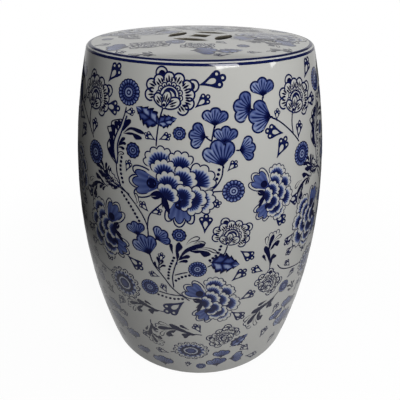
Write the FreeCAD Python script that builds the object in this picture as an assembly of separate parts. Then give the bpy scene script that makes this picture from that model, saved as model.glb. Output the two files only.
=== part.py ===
"""Ceramic garden stool: a hollow stoneware barrel with a pierced, slightly domed seat, open below.

Three clay pieces are cast apart, stuck together with slip and fired as one: a foot ring, the barrel
wall that stands on it, and the seat plate that closes the top. Four felt pads go on the foot last.
Units are millimetres, +Z is up, and the origin is on the floor under the centre of the stool.
The front of the stool faces -Y.
"""

import FreeCAD
import Part

import math
import os

# Barrel: one arc outside, the same radius at the seat and at the base
rim_height = 452.0  # floor to the seat's edge, before its lip is rounded
belly_diameter = 352.0
end_diameter = 289.0
wall_thickness = 7.0

# Seat plate
seat_thickness = 8.0  # at the edge
seat_crown = 5.0  # how much thicker the middle is, so that rain runs off
lip_radius = 7.6

# Coin piercing in the seat: a round window that four curved ribs divide into five
coin_radius = 41.0
coin_rib_width = 12.0
coin_turn = -23.0  # degrees about +Z, from the stool's +X side
coin_corner_radius = 2.0
coin_rim_bevel = 1.2

# Foot ring
foot_height = 18.0
foot_width = 25.0
foot_flange_height = 11.0
foot_bevel = 1.5

# Felt pads
pad_count = 4
pad_diameter = 16.0
pad_thickness = 1.5

# Sizes that follow from the ones above
base_height = pad_thickness
foot_seam_height = base_height + foot_height
seat_seam_height = rim_height - seat_thickness
middle_height = (rim_height + base_height) / 2
half_height = (rim_height - base_height) / 2
end_radius = end_diameter / 2
bulge = belly_diameter / 2 - end_radius
coin_rib_distance = coin_radius * math.sqrt(2)  # from the coin's centre to a rib's centre of curvature
pad_circle_radius = end_radius - foot_width / 2

stool_axis_foot = FreeCAD.Vector(0, 0, 0)
up = FreeCAD.Vector(0, 0, 1)


def at(radius, height):
    """A point of a profile: so far from the axis, so far above the floor."""
    return FreeCAD.Vector(radius, 0, height)


def line(start, end):
    return Part.LineSegment(start, end).toShape()


def arc_about(centre, start, end):
    """The shorter arc between two profile points that are as far from the centre as each other."""
    radius = start.distanceToPoint(centre)
    outwards = ((start + end) / 2 - centre).normalize()
    return Part.Arc(start, centre + outwards * radius, end).toShape()


def turned(edges):
    """The solid that a closed profile sweeps in one full turn about the stool's axis."""
    return Part.Face(Part.Wire(edges)).revolve(stool_axis_foot, up, 360)


def full_circles(shape, radius, height):
    """The shape's edges that are circles about the axis with this radius at this height."""
    found = []
    for edge in shape.Edges:
        if edge.Degenerated or not isinstance(edge.Curve, Part.Circle):
            continue
        centre = edge.Curve.Center
        on_axis = math.hypot(centre.x, centre.y) < 0.01 and abs(centre.z - height) < 0.01
        if on_axis and abs(edge.Curve.Radius - radius) < 0.01:
            found.append(edge)
    return found


barrel_arc_radius = (half_height**2 + bulge**2) / (2 * bulge)
barrel_arc_centre = at(end_radius + bulge - barrel_arc_radius, middle_height)


def barrel_point(height, inset=0.0):
    """The point of the barrel's arc at a height, on the arc moved inwards by inset."""
    reach = math.sqrt((barrel_arc_radius - inset) ** 2 - (height - middle_height) ** 2)
    return at(barrel_arc_centre.x + reach, height)


def crossing(centre_a, radius_a, centre_b, radius_b):
    """Where two circles of the profile plane cross, to the right of the way from a to b."""
    apart = centre_b - centre_a
    gap = apart.Length
    along = (radius_a**2 - radius_b**2 + gap**2) / (2 * gap)
    aside = math.sqrt(radius_a**2 - along**2)
    direction = apart.normalize()
    return centre_a + direction * along + FreeCAD.Vector(direction.z, 0, -direction.x) * aside


def make_barrel_wall():
    """The wall between the two seams: the barrel's arc outside, and the same arc moved in."""
    low, high = foot_seam_height, seat_seam_height
    outer_low, outer_high = barrel_point(low), barrel_point(high)
    inner_low, inner_high = barrel_point(low, wall_thickness), barrel_point(high, wall_thickness)
    return turned(
        [
            arc_about(barrel_arc_centre, outer_low, outer_high),
            line(outer_high, inner_high),
            arc_about(barrel_arc_centre, inner_high, inner_low),
            line(inner_low, outer_low),
        ]
    )


def make_foot_ring():
    """The ring under the wall: the barrel's arc outside, and a low flange inside to stand on."""
    outer_low = barrel_point(base_height)
    outer_high = barrel_point(foot_seam_height)
    shoulder = barrel_point(foot_seam_height, wall_thickness)
    inner_low = at(outer_low.x - foot_width, base_height)
    inner_high = at(inner_low.x, base_height + foot_flange_height)
    ring = turned(
        [
            arc_about(barrel_arc_centre, outer_low, outer_high),
            line(outer_high, shoulder),
            line(shoulder, inner_high),
            line(inner_high, inner_low),
            line(inner_low, outer_low),
        ]
    )
    corners = [full_circles(ring, point.x, point.z) for point in (outer_low, inner_low, inner_high)]
    return ring.makeChamfer(foot_bevel, sum(corners, []))


def disc(radius, centre_distance=0.0):
    """A flat round face at floor level, its centre so far along +X."""
    circle = Part.Circle(FreeCAD.Vector(centre_distance, 0, 0), up, radius)
    return Part.Face(Part.Wire(circle.toShape()))


def quarter_turned(shape, quarters):
    """A copy of the shape, turned about the stool's axis by so many quarter turns."""
    copy = shape.copy()
    copy.rotate(stool_axis_foot, up, 90 * quarters)
    return copy


def upright(outline):
    """A prism on a flat outline, taller than the stool, with its upright corners rounded."""
    height = rim_height + 2 * seat_crown
    prism = outline.extrude(up * height)
    corners = [edge for edge in prism.Edges if isinstance(edge.Curve, Part.Line) and edge.Length > height / 2]
    return prism.makeFillet(coin_corner_radius, corners)


def make_coin_windows():
    """The five windows: four leaves along the coin's rim and a hollow-sided square in the middle.

    Each rib follows a circle as large as the coin, whose centre lies outside it by the coin's
    radius times root two, so that neighbouring ribs meet on the coin's rim.
    """
    half_rib = coin_rib_width / 2
    leaf = disc(coin_radius).common(disc(coin_radius - half_rib, coin_rib_distance))
    square = disc(coin_radius - coin_rib_width)
    for quarter in range(4):
        square = square.cut(quarter_turned(disc(coin_radius + half_rib, coin_rib_distance), quarter))
    windows = [quarter_turned(upright(leaf.Faces[0]), quarter) for quarter in range(4)]
    windows.append(upright(square.Faces[0]))
    for window in windows:
        window.rotate(stool_axis_foot, up, coin_turn)
    return windows


def make_seat_plate():
    """The plate, flat below and domed on top, with its rounded lip and the coin piercing.

    The dome rises by the crown from the end radius to the axis. The lip is an arc whose centre lies
    the lip's radius inside both the dome and the barrel's arc, so that it runs smoothly into both.
    """
    outer_low = barrel_point(seat_seam_height)
    top_radius = (end_radius**2 + seat_crown**2) / (2 * seat_crown)
    top_centre = at(0, rim_height + seat_crown - top_radius)
    lip_centre = crossing(
        top_centre, top_radius - lip_radius, barrel_arc_centre, barrel_arc_radius - lip_radius
    )
    lip_top = lip_centre + (lip_centre - top_centre).normalize() * lip_radius
    lip_side = lip_centre + (lip_centre - barrel_arc_centre).normalize() * lip_radius
    top_middle = at(0, rim_height + seat_crown)
    under_middle = at(0, seat_seam_height)
    plate = turned(
        [
            arc_about(top_centre, top_middle, lip_top),
            arc_about(lip_centre, lip_top, lip_side),
            arc_about(barrel_arc_centre, lip_side, outer_low),
            line(outer_low, under_middle),
            line(under_middle, top_middle),
        ]
    )
    for window in make_coin_windows():
        plate = plate.cut(window)
    window_rims = []
    for edge in plate.Edges:
        box = edge.BoundBox
        near_axis = max(box.XMax, -box.XMin, box.YMax, -box.YMin) < coin_radius + 0.01
        if near_axis and box.ZMin > rim_height:
            window_rims.append(edge)
    return plate.makeChamfer(coin_rim_bevel, window_rims)


def make_floor_pads():
    """The felt pads, evenly round the foot, the first one midway between +X and +Y."""
    pads = []
    for number in range(pad_count):
        angle = math.radians(45 + number * 360 / pad_count)
        centre = FreeCAD.Vector(math.cos(angle), math.sin(angle), 0) * pad_circle_radius
        pads.append(Part.makeCylinder(pad_diameter / 2, pad_thickness, centre))
    return pads


def main():
    nodes = {
        "barrel_wall": make_barrel_wall(),
        "seat_plate": make_seat_plate(),
        "foot_ring": make_foot_ring(),
    }
    for number, pad in enumerate(make_floor_pads(), start=1):
        nodes[f"floor_pad_{number}"] = pad
    os.makedirs("parts", exist_ok=True)
    for name, shape in nodes.items():
        shape.exportStep(f"parts/{name}.step")
        box = shape.optimalBoundingBox(False)
        print(
            f"{name}: valid {shape.isValid()}, {len(shape.Solids)} solid, {shape.Volume / 1000:.1f} cm3, "
            f"z {box.ZMin:.2f} to {box.ZMax:.2f}, x {box.XMin:.2f} to {box.XMax:.2f}"
        )


main()
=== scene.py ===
# %% [markdown]
# # A ceramic garden stool
# The stool is a hollow stoneware barrel under a clear glaze, with a blue floral print under that glaze
# and a coin piercing in its seat. FreeCAD built the solids, and this script dresses them: it makes the
# glazed surfaces finely enough to mirror a lamp without facets, lays the print on them, and sets up a
# camera, a floor and lamps. Every length is in metres, +Z is up and the front of the stool faces -Y.

# %% Load the frame
import math

import bpy
import numpy as np
from mathutils import Matrix, Vector
from mathutils.geometry import delaunay_2d_cdt


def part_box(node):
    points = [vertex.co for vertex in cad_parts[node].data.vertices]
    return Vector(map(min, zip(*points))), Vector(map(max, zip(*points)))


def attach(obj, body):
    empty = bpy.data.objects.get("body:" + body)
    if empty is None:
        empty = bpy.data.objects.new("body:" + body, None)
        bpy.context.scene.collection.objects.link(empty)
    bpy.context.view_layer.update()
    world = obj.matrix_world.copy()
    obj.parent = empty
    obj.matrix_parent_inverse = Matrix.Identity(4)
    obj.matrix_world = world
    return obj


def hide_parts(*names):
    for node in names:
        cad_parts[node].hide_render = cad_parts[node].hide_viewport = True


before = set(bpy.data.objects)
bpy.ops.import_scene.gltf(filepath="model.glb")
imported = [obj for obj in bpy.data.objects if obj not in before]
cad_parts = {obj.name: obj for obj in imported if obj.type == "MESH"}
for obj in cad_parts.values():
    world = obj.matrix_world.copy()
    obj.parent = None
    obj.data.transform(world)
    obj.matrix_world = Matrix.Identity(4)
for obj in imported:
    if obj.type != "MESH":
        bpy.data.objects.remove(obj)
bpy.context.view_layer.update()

scene = bpy.context.scene
for name in sorted(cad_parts):
    low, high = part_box(name)
    print(f"{name}: z {low.z * 1000:.1f} to {high.z * 1000:.1f} mm, width {(high.x - low.x) * 1000:.1f} mm")

# %% [markdown]
# ## The barrel's arc
# The outside is one arc turned about the stool's axis, as a jiggered or cast barrel has. It could be
# copied off the CAD mesh, but the CAD mesh has facets that a glossy glaze would show, so the same arc
# is written here as a formula. Two numbers then name any point on the outside: the turn about the axis
# (0 at the front, growing to the right) and the height.

# %% The barrel as a formula
RIM_HEIGHT = 0.452          # floor to the seat's edge before its lip is rounded
BASE_HEIGHT = 0.0015        # the felt pads lift the clay by this much
BELLY_RADIUS = 0.176
END_RADIUS = 0.1445
WALL = 0.007
SEAT_UNDERSIDE = 0.444
FOOT_SEAM = 0.0195
MIDDLE_HEIGHT = (RIM_HEIGHT + BASE_HEIGHT) / 2
HALF_HEIGHT = (RIM_HEIGHT - BASE_HEIGHT) / 2
BULGE = BELLY_RADIUS - END_RADIUS
ARC_RADIUS = (HALF_HEIGHT**2 + BULGE**2) / (2 * BULGE)
ARC_CENTRE = BELLY_RADIUS - ARC_RADIUS
SEGMENTS = 256


def arc_point(angle, stand=0.0):
    """Radius and height on the barrel's arc: centre + (arc radius + stand) * (cos angle, sin angle)."""
    reach = ARC_RADIUS + stand
    return ARC_CENTRE + reach * np.cos(angle), MIDDLE_HEIGHT + reach * np.sin(angle)


def arc_angle(height, stand=0.0):
    """The arc's angle at a height: the sine is the height above the middle over the arc's radius."""
    return np.arcsin((np.asarray(height, float) - MIDDLE_HEIGHT) / (ARC_RADIUS + stand))


def arc_rows(low, high, rows, stand=0.0):
    """Profile points (radius, height) at even angles between two heights."""
    angles = np.linspace(arc_angle(low, stand), arc_angle(high, stand), rows)
    return np.column_stack(arc_point(angles, stand))


print(f"arc radius {ARC_RADIUS * 1000:.1f} mm, belly {BELLY_RADIUS * 2000:.0f} mm wide")

# %% [markdown]
# ## Turning a profile
# Wall, foot and felt pads are all turned about an upright axis. Blender's Spin or Screw would do it;
# working the grid out with numpy keeps the rings of two neighbouring pieces exactly alike, so the
# glaze runs over the joints without a line, as it does on the fired stool.

# %% Mesh helpers
SHARP = math.radians(35)    # a fold sharper than this stays an edge, and the rest is shaded smooth


def make_mesh(name, points, faces, normals=None):
    """A mesh object from an array of points and one of triangles or quads; normals are per point."""
    mesh = bpy.data.meshes.new(name)
    corners = faces.shape[1]
    mesh.vertices.add(len(points))
    mesh.vertices.foreach_set("co", np.ascontiguousarray(points, np.float32).ravel())
    mesh.loops.add(faces.size)
    mesh.loops.foreach_set("vertex_index", np.ascontiguousarray(faces, np.int32).ravel())
    mesh.polygons.add(len(faces))
    mesh.polygons.foreach_set("loop_start", np.arange(len(faces), dtype=np.int32) * corners)
    mesh.update(calc_edges=True)
    mesh.shade_smooth()
    if normals is not None:
        mesh.normals_split_custom_set_from_vertices(normals.tolist())
    piece = bpy.data.objects.new(name, mesh)
    scene.collection.objects.link(piece)
    return piece


def grid_faces(rows, columns, wrap_rows=False, wrap_columns=False, first=0):
    """Quads of a grid whose points run column by column inside each row, numbered from first. The last
    row or column may join on to the first one."""
    row = np.arange(rows if wrap_rows else rows - 1)[:, None]
    column = np.arange(columns if wrap_columns else columns - 1)[None, :]
    next_row, next_column = (row + 1) % rows, (column + 1) % columns
    quads = [row * columns + column, row * columns + next_column,
             next_row * columns + next_column, next_row * columns + column]
    return first + np.stack(np.broadcast_arrays(*quads), axis=-1).reshape(-1, 4)


def split_quads(quads):
    """Two triangles for each quad, on both sides of the diagonal from its first corner."""
    return np.vstack([quads[:, [0, 1, 2]], quads[:, [0, 2, 3]]])


def round_angles(count):
    """The angles of so many points, evenly round a circle."""
    return np.arange(count) * 2 * math.pi / count


def ring_points(profile, centre=(0.0, 0.0), segments=SEGMENTS):
    """A profile (radius, height) turned about an upright axis: (r cos a, r sin a, z) at even angles."""
    angle = round_angles(segments)
    radius, height = profile[:, 0][:, None], profile[:, 1][:, None]
    points = [centre[0] + radius * np.cos(angle), centre[1] + radius * np.sin(angle), height + 0 * angle]
    return np.stack(points, axis=-1).reshape(-1, 3)


def turned(name, profile):
    """A closed profile turned about the stool's axis into a solid ring."""
    piece = make_mesh(name, ring_points(profile), grid_faces(len(profile), SEGMENTS, True, True))
    piece.data.set_sharp_from_angle(angle=SHARP)
    print(f"{name}: {len(piece.data.polygons)} quads")
    return piece

# %% [markdown]
# ## Wall and foot
# The wall is 7 mm thick, the same arc outside and moved in. The foot carries it on a wider flange, so
# the stool stands on a flat ring of clay. Both are closed profiles, so they are solid when exported.

# %% Wall and foot
OUTER_ROWS, INNER_ROWS, FOOT_ROWS = 110, 60, 8
inner_wall = arc_rows(FOOT_SEAM, SEAT_UNDERSIDE, INNER_ROWS, -WALL)
outer_wall = arc_rows(FOOT_SEAM, SEAT_UNDERSIDE, OUTER_ROWS)
barrel_wall = turned("glazed_wall", np.vstack([outer_wall, inner_wall[::-1]]))

FOOT_WIDTH = 0.025
FLANGE_TOP = 0.0125         # height of the flange inside the foot
FOOT_ROUND = 0.0015         # radius of the foot's softened corners
CORNER_POINTS = 5           # points across one of them


def round_corner(corner, before, after, radius):
    """Points of a rounded corner: a quadratic curve from one side to the other through the corner."""
    corner, before, after = (np.asarray(p, float) for p in (corner, before, after))
    start = corner + (before - corner) / np.linalg.norm(before - corner) * radius
    end = corner + (after - corner) / np.linalg.norm(after - corner) * radius
    t = np.linspace(0, 1, CORNER_POINTS)[:, None]
    return (1 - t) ** 2 * start + 2 * t * (1 - t) * corner + t**2 * end


foot_arc = arc_rows(BASE_HEIGHT + FOOT_ROUND, FOOT_SEAM, FOOT_ROWS)
foot_outer = np.array(arc_point(arc_angle(BASE_HEIGHT)))
shoulder = inner_wall[0]
foot_inner = np.array([foot_outer[0] - FOOT_WIDTH, BASE_HEIGHT])
flange = np.array([foot_inner[0], FLANGE_TOP])
foot_profile = np.vstack([
    round_corner(foot_outer, foot_inner, foot_arc[0], FOOT_ROUND),
    foot_arc[1:],
    shoulder[None],
    round_corner(flange, shoulder, foot_inner, FOOT_ROUND),
    round_corner(foot_inner, flange, foot_outer, FOOT_ROUND),
])
foot_ring = turned("glazed_foot", foot_profile)

# %% [markdown]
# ## The seat and its coin piercing
# The seat is a slightly domed plate with a rounded lip, and the old Chinese coin motif is cut through
# it: a round window that four curved ribs divide into four leaves and a hollow-sided square. The
# potter softens the cut edges with a wet sponge, so each edge is a quarter round. A Boolean would
# leave ragged triangles under the glaze. Each window's outline is a chain of arcs instead, whose
# points and outward directions are known exactly, and a Delaunay triangulation fills the plate between.

# %% Coin windows
SEAT_CROWN = 0.005
LIP_RADIUS = 0.0076
COIN_RADIUS = 0.041
RIB_WIDTH = 0.012
COIN_TURN = math.radians(-23)
CORNER_RADIUS = 0.002
EDGE_ROUND = 0.0013         # radius of the softened edge
RIB_DISTANCE = COIN_RADIUS * math.sqrt(2)   # from the coin's middle to a rib's centre of curvature
STEP = 0.0011               # spacing of the points along a window's edge


def arc(centre, radius, start, end, outward=1):
    """Points and outward directions along an arc, from one angle to another, the last one left out."""
    count = max(4, int(abs(end - start) * radius / STEP))
    angle = np.linspace(start, end, count, endpoint=False)
    direction = np.column_stack([np.cos(angle), np.sin(angle)])
    return np.asarray(centre) + radius * direction, outward * direction


def rotate(points, angle):
    """Points of the plane, turned about the axis."""
    c, s = math.cos(angle), math.sin(angle)
    return points @ np.array([[c, s], [-s, c]])


def leaf_window():
    """The lens where the coin's disc and a rib's disc overlap, with rounded corners."""
    rib = RIB_DISTANCE
    coin_reach, rib_reach = COIN_RADIUS - CORNER_RADIUS, COIN_RADIUS - RIB_WIDTH / 2 - CORNER_RADIUS
    x = (coin_reach**2 - rib_reach**2 + rib**2) / (2 * rib)
    y = math.sqrt(coin_reach**2 - x**2)
    a, b = math.atan2(y, x), math.atan2(y, x - rib)
    chain = [arc((0, 0), COIN_RADIUS, -a, a), arc((x, y), CORNER_RADIUS, a, b),
             arc((rib, 0), COIN_RADIUS - RIB_WIDTH / 2, b, 2 * math.pi - b),
             arc((x, -y), CORNER_RADIUS, 2 * math.pi - b, 2 * math.pi - a)]
    return tuple(np.vstack(part) for part in zip(*chain))


def middle_window():
    """The square left between the four ribs: four hollow sides and four rounded corners."""
    rib, reach = RIB_DISTANCE, COIN_RADIUS + RIB_WIDTH / 2
    # A corner's round has its centre at (corner, corner), a corner radius outside the two ribs' circles.
    corner = (2 * rib - math.sqrt(4 * rib**2 - 8 * (rib**2 - (reach + CORNER_RADIUS) ** 2))) / 4
    half = math.atan2(corner, rib - corner)
    points, outward = [], []
    for quarter in range(4):
        side = arc((rib, 0), reach, math.pi + half, math.pi - half, outward=-1)
        turn = arc((corner, corner), CORNER_RADIUS, -half, math.pi / 2 + half)
        for part in (side, turn):
            points.append(rotate(part[0], quarter * math.pi / 2))
            outward.append(rotate(part[1], quarter * math.pi / 2))
    return np.vstack(points), np.vstack(outward)


windows = [tuple(rotate(part, quarter * math.pi / 2 + COIN_TURN) for part in leaf_window())
           for quarter in range(4)]
windows.append(tuple(rotate(part, COIN_TURN) for part in middle_window()))
print("window outlines:", [len(points) for points, _ in windows], "points")

# %% [markdown]
# ## The dome and the lip
# The seat swells by 5 mm so that rain runs off, and its rim turns over in a soft lip, because a sharp
# edge would chip and glaze pulls away from it. Dome, lip and wall are three arcs that touch without a
# corner. The lip's centre is therefore worked out, not guessed: it lies one lip radius inside both of
# the other arcs. Then a highlight runs over the rim in one piece.

# %% The dome and the lip
DOME_RADIUS = (END_RADIUS**2 + SEAT_CROWN**2) / (2 * SEAT_CROWN)
DOME_CENTRE = RIM_HEIGHT + SEAT_CROWN - DOME_RADIUS


def dome_height(radius):
    """Height of the dome at a radius: centre + sqrt(dome radius^2 - radius^2)."""
    return DOME_CENTRE + np.sqrt(DOME_RADIUS**2 - np.asarray(radius) ** 2)


def lip_centre():
    """Centre of the lip's arc: as far inside the dome as inside the barrel's arc, by the lip's radius."""
    reach_a, reach_b = DOME_RADIUS - LIP_RADIUS, ARC_RADIUS - LIP_RADIUS
    a, b = np.array([0.0, DOME_CENTRE]), np.array([ARC_CENTRE, MIDDLE_HEIGHT])
    gap = np.linalg.norm(b - a)
    along = (reach_a**2 - reach_b**2 + gap**2) / (2 * gap)
    direction = (b - a) / gap
    aside = np.array([direction[1], -direction[0]]) * math.sqrt(reach_a**2 - along**2)
    return max((a + direction * along + aside, a + direction * along - aside), key=lambda p: p[0])


LIP_CENTRE = lip_centre()
lip_start = math.atan2(LIP_CENTRE[1] - DOME_CENTRE, LIP_CENTRE[0])
lip_end = math.atan2(LIP_CENTRE[1] - MIDDLE_HEIGHT, LIP_CENTRE[0] - ARC_CENTRE)
LIP_TOP_RADIUS = LIP_CENTRE[0] + LIP_RADIUS * math.cos(lip_start)
LIP_SIDE_HEIGHT = LIP_CENTRE[1] + LIP_RADIUS * math.sin(lip_end)


def lip_arc(angle, stand=0.0):
    """Profile points of the lip: centre + (lip radius + stand) * (cos angle, sin angle)."""
    return LIP_CENTRE + (LIP_RADIUS + stand) * np.column_stack([np.cos(angle), np.sin(angle)])


print(f"lip from r {LIP_TOP_RADIUS * 1000:.1f} mm to z {LIP_SIDE_HEIGHT * 1000:.1f} mm")

# %% [markdown]
# ## The plate round the windows
# Near the coin no turned grid would fit the windows, so a disc of 58 mm radius is filled with triangles
# between their outlines. Blender's own Delaunay triangulation does that in the flat. It fills the windows
# too, so each triangle whose middle lies inside an outline is left out afterwards.

# %% The plate round the windows
COIN_FIELD = 0.058          # radius of the disc round the coin that the triangulation fills


def inside(points, outline):
    """Which points lie in a closed outline: an upward ray crosses its edges an odd number of times."""
    a, b = outline, np.roll(outline, -1, axis=0)
    x, y = points[:, 0][:, None], points[:, 1][:, None]
    spans = (a[:, 0] > x) != (b[:, 0] > x)
    with np.errstate(divide="ignore", invalid="ignore"):
        crossing = a[:, 1] + (x - a[:, 0]) / (b[:, 0] - a[:, 0]) * (b[:, 1] - a[:, 1])
    return (np.sum(spans & (crossing > y), axis=1) % 2) == 1


def plate_triangles(rim, outlines):
    """Points and triangles of the disc inside a rim, less the outlines."""
    rings = [rim] + outlines
    points = np.vstack(rings)
    edges, first = [], 0
    for ring in rings:
        index = np.arange(len(ring))
        edges.append(first + np.column_stack([index, (index + 1) % len(ring)]))
        first += len(ring)
    filled = delaunay_2d_cdt([Vector(p) for p in points.tolist()], np.vstack(edges).tolist(), [], 0, 1e-7)
    flat, triangles = np.array([tuple(p) for p in filled[0]]), np.array(filled[2])
    middle = flat[triangles].mean(axis=1)
    keep = np.hypot(middle[:, 0], middle[:, 1]) < COIN_FIELD
    for outline in outlines:
        keep &= ~inside(middle, outline)
    return flat, triangles[keep]


rim = COIN_FIELD * np.column_stack([np.cos(round_angles(SEGMENTS)), np.sin(round_angles(SEGMENTS))])
top_fill = plate_triangles(rim, [points + EDGE_ROUND * outward for points, outward in windows])
under_fill = plate_triangles(rim, [points for points, _ in windows])
print("triangles round the windows:", len(top_fill[1]), "above and", len(under_fill[1]), "below")

# %% [markdown]
# ## The seat's mesh
# Now the seat is put together: the two fills, a wall of quads in each window with its quarter round at
# the top, and a turned grid from the disc's rim over the lip to the underside. All these patches share
# their border points, which are welded at the end, so the plate is one closed solid.

# %% Seat mesh
ROUND_ROWS, DOME_ROWS, LIP_ROWS = 7, 24, 14


def window_wall(points, outward):
    """A window's inner face as a grid: a quarter round, offset = r (1 - sin b) and drop = r (1 - cos b),
    from the dome down to the outline, and then straight to the underside."""
    bend = np.linspace(0, math.pi / 2, ROUND_ROWS)[:, None]
    offset = np.append(EDGE_ROUND * (1 - np.sin(bend)), [[0.0], [0.0]], axis=0)
    base = dome_height(np.hypot(*(points + EDGE_ROUND * outward).T))[None, :]
    drop = base - EDGE_ROUND * (1 - np.cos(bend))
    half_way = (drop[-1:] + SEAT_UNDERSIDE) / 2
    z = np.vstack([drop, half_way, np.full_like(half_way, SEAT_UNDERSIDE)])
    x = points[:, 0] + offset * outward[:, 0]
    y = points[:, 1] + offset * outward[:, 1]
    grid = np.stack([x, y, z], axis=-1).reshape(-1, 3)
    return grid, grid_faces(len(z), len(points), wrap_columns=True)[:, ::-1]


def outer_seat():
    """The turned part: the dome's arc, the lip's arc, the barrel's arc and the flat underside."""
    radius = np.linspace(COIN_FIELD, LIP_TOP_RADIUS, DOME_ROWS)
    profile = np.vstack([
        np.column_stack([radius, dome_height(radius)]),
        lip_arc(np.linspace(lip_start, lip_end, LIP_ROWS))[1:],
        arc_rows(SEAT_UNDERSIDE, LIP_SIDE_HEIGHT, 3)[::-1][1:],
        [[COIN_FIELD, SEAT_UNDERSIDE]],
    ])
    return ring_points(profile), grid_faces(len(profile), SEGMENTS, wrap_columns=True)[:, ::-1]


def welded(name, parts):
    """One mesh from patches that share their borders: points nearer than a micrometre become one."""
    points, faces, first = [], [], 0
    for patch_points, patch_faces in parts:
        if patch_faces.shape[1] == 4:
            patch_faces = split_quads(patch_faces)
        points.append(patch_points)
        faces.append(patch_faces + first)
        first += len(patch_points)
    points, faces = np.vstack(points), np.vstack(faces)
    _, keep, same = np.unique(np.round(points, 6), axis=0, return_index=True, return_inverse=True)
    faces = same.reshape(-1)[faces]
    real = (faces[:, 0] != faces[:, 1]) & (faces[:, 1] != faces[:, 2]) & (faces[:, 2] != faces[:, 0])
    piece = make_mesh(name, points[keep], faces[real])
    piece.data.set_sharp_from_angle(angle=SHARP)
    print(f"{name}: {len(piece.data.polygons)} triangles")
    return piece


above, below = top_fill[0], under_fill[0]
seat = welded("glazed_seat", [
    (np.column_stack([above, dome_height(np.hypot(*above.T))]), top_fill[1]),
    (np.column_stack([below, np.full(len(below), SEAT_UNDERSIDE)]), under_fill[1][:, ::-1]),
    *(window_wall(*window) for window in windows),
    outer_seat(),
])

# %% [markdown]
# ## Felt pads
# Four round felt pads keep the glazed foot off a floor. Each is a low disc whose edge is slightly
# crushed, so it is turned from a profile with a soft shoulder.

# %% Felt pads
PAD_RADIUS = 0.008
PAD_HEIGHT = 0.0015
PAD_CIRCLE = END_RADIUS - FOOT_WIDTH / 2
PAD_SHOULDER = 0.0005       # radius of the crushed upper edge
PAD_BEVEL = 0.0003          # at the lower edge
PAD_SEGMENTS = 48
bend = np.linspace(0, math.pi / 2, 5)
pad_edge = np.column_stack([PAD_RADIUS - PAD_SHOULDER + PAD_SHOULDER * np.cos(bend),
                            PAD_HEIGHT - PAD_SHOULDER + PAD_SHOULDER * np.sin(bend)])
profile = np.vstack([
    [[0.0, 0.0], [PAD_RADIUS * 0.6, 0.0], [PAD_RADIUS - PAD_BEVEL, 0.0], [PAD_RADIUS, PAD_BEVEL]],
    pad_edge,
    [[PAD_RADIUS * 0.6, PAD_HEIGHT], [0.0, PAD_HEIGHT]],
])
faces = grid_faces(len(profile), PAD_SEGMENTS, wrap_columns=True)
pads = []
for number in range(4):
    angle = math.radians(45 + 90 * number)
    centre = PAD_CIRCLE * np.array([math.cos(angle), math.sin(angle)])
    pads.append(welded(f"felt_pad_{number + 1}", [(ring_points(profile, centre, PAD_SEGMENTS), faces)]))

# %% [markdown]
# ## The floral print
# Cheap stools of this kind are not painted: a transfer printed in cobalt is laid on the biscuit and
# glazed over. An image texture is the usual way to show that, but a stretched picture blurs and says
# nothing about how the flowers are drawn. Here each stroke is its own small sheet of ink, worked out in
# flat millimetres and then wrapped on the barrel's arc, so an edge stays crisp at any distance. A
# stroke carries a tone per point, 0 for the darkest cobalt and 1 for bare glaze, and the finish turns
# that tone into a colour.

# %% Sheets of ink
LINE = 2.0                  # mm, the width of the fine brush line
PEN = 0.08                  # its tone: a thin line holds less cobalt than a filled heart, and fires bluer
SLIVER = 1e-5               # mm2, the size of a triangle that is left out, counted twice over


def patch(points, triangles, tone, layer):
    """A sheet of ink: points in mm, triangles, a tone per point and the layer that it lies in. Every
    triangle is turned to face outwards, by the sign of its area, and slivers are left out."""
    points, triangles = np.asarray(points, float), np.asarray(triangles)
    a, b, c = (points[triangles[:, k]] for k in range(3))
    area = (b[:, 0] - a[:, 0]) * (c[:, 1] - a[:, 1]) - (b[:, 1] - a[:, 1]) * (c[:, 0] - a[:, 0])
    triangles = np.where(area[:, None] < 0, triangles[:, ::-1], triangles)[np.abs(area) > SLIVER]
    return points, triangles, np.broadcast_to(tone, len(points)), layer


def fill(heart, outline, tone, rows, layer, closed=True):
    """Ink from a heart point to an outline: heart + s (outline - heart), s in even rows to 1. The tone
    is a number or a function of s and of w, which runs from -1 to 1 along the outline."""
    outline, heart = np.asarray(outline, float), np.asarray(heart, float)
    count = len(outline)
    s = np.linspace(0, 1, rows + 1)[1:, None, None]
    points = np.vstack([heart[None], (heart + s * (outline - heart)).reshape(-1, 2)])
    index = np.arange(count if closed else count - 1)
    fan = np.column_stack([0 * index, 1 + index, 1 + (index + 1) % count])
    rings = split_quads(grid_faces(rows, count, wrap_columns=closed, first=1))
    if callable(tone):
        w = np.linspace(-1, 1, count)[None, :]
        on_rings = tone(s[:, :, 0], w) + 0 * s[:, :, 0] * w
        tone = np.append(np.ravel(tone(0.0, 0.0))[:1], np.ravel(on_rings))
    return patch(points, np.vstack([fan, rings]), np.clip(tone, 0, 1), layer)


print(f"a plain line is {LINE} mm wide")

# %% [markdown]
# ## Brush lines
# The engraver's contours are lines about 2 mm wide that end in a soft point. A curve object with a bevel
# would give a round tube, and a flat one can't swell to one side only. So a line is a ribbon: its path
# moved half a width to both sides, where the half width is a function of the way along. The path is a
# smooth curve through a few stops, so a motif is written down in a handful of numbers.

# %% Brush lines
THINNEST = 0.12             # the least share of its width that a swelling line has
BLUNT = 0.3                 # and the share that a plain line has at its very end


def way_along(path):
    """How far along a path each of its points is."""
    return np.append(0, np.cumsum(np.linalg.norm(np.diff(path, axis=0), axis=1)))


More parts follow.
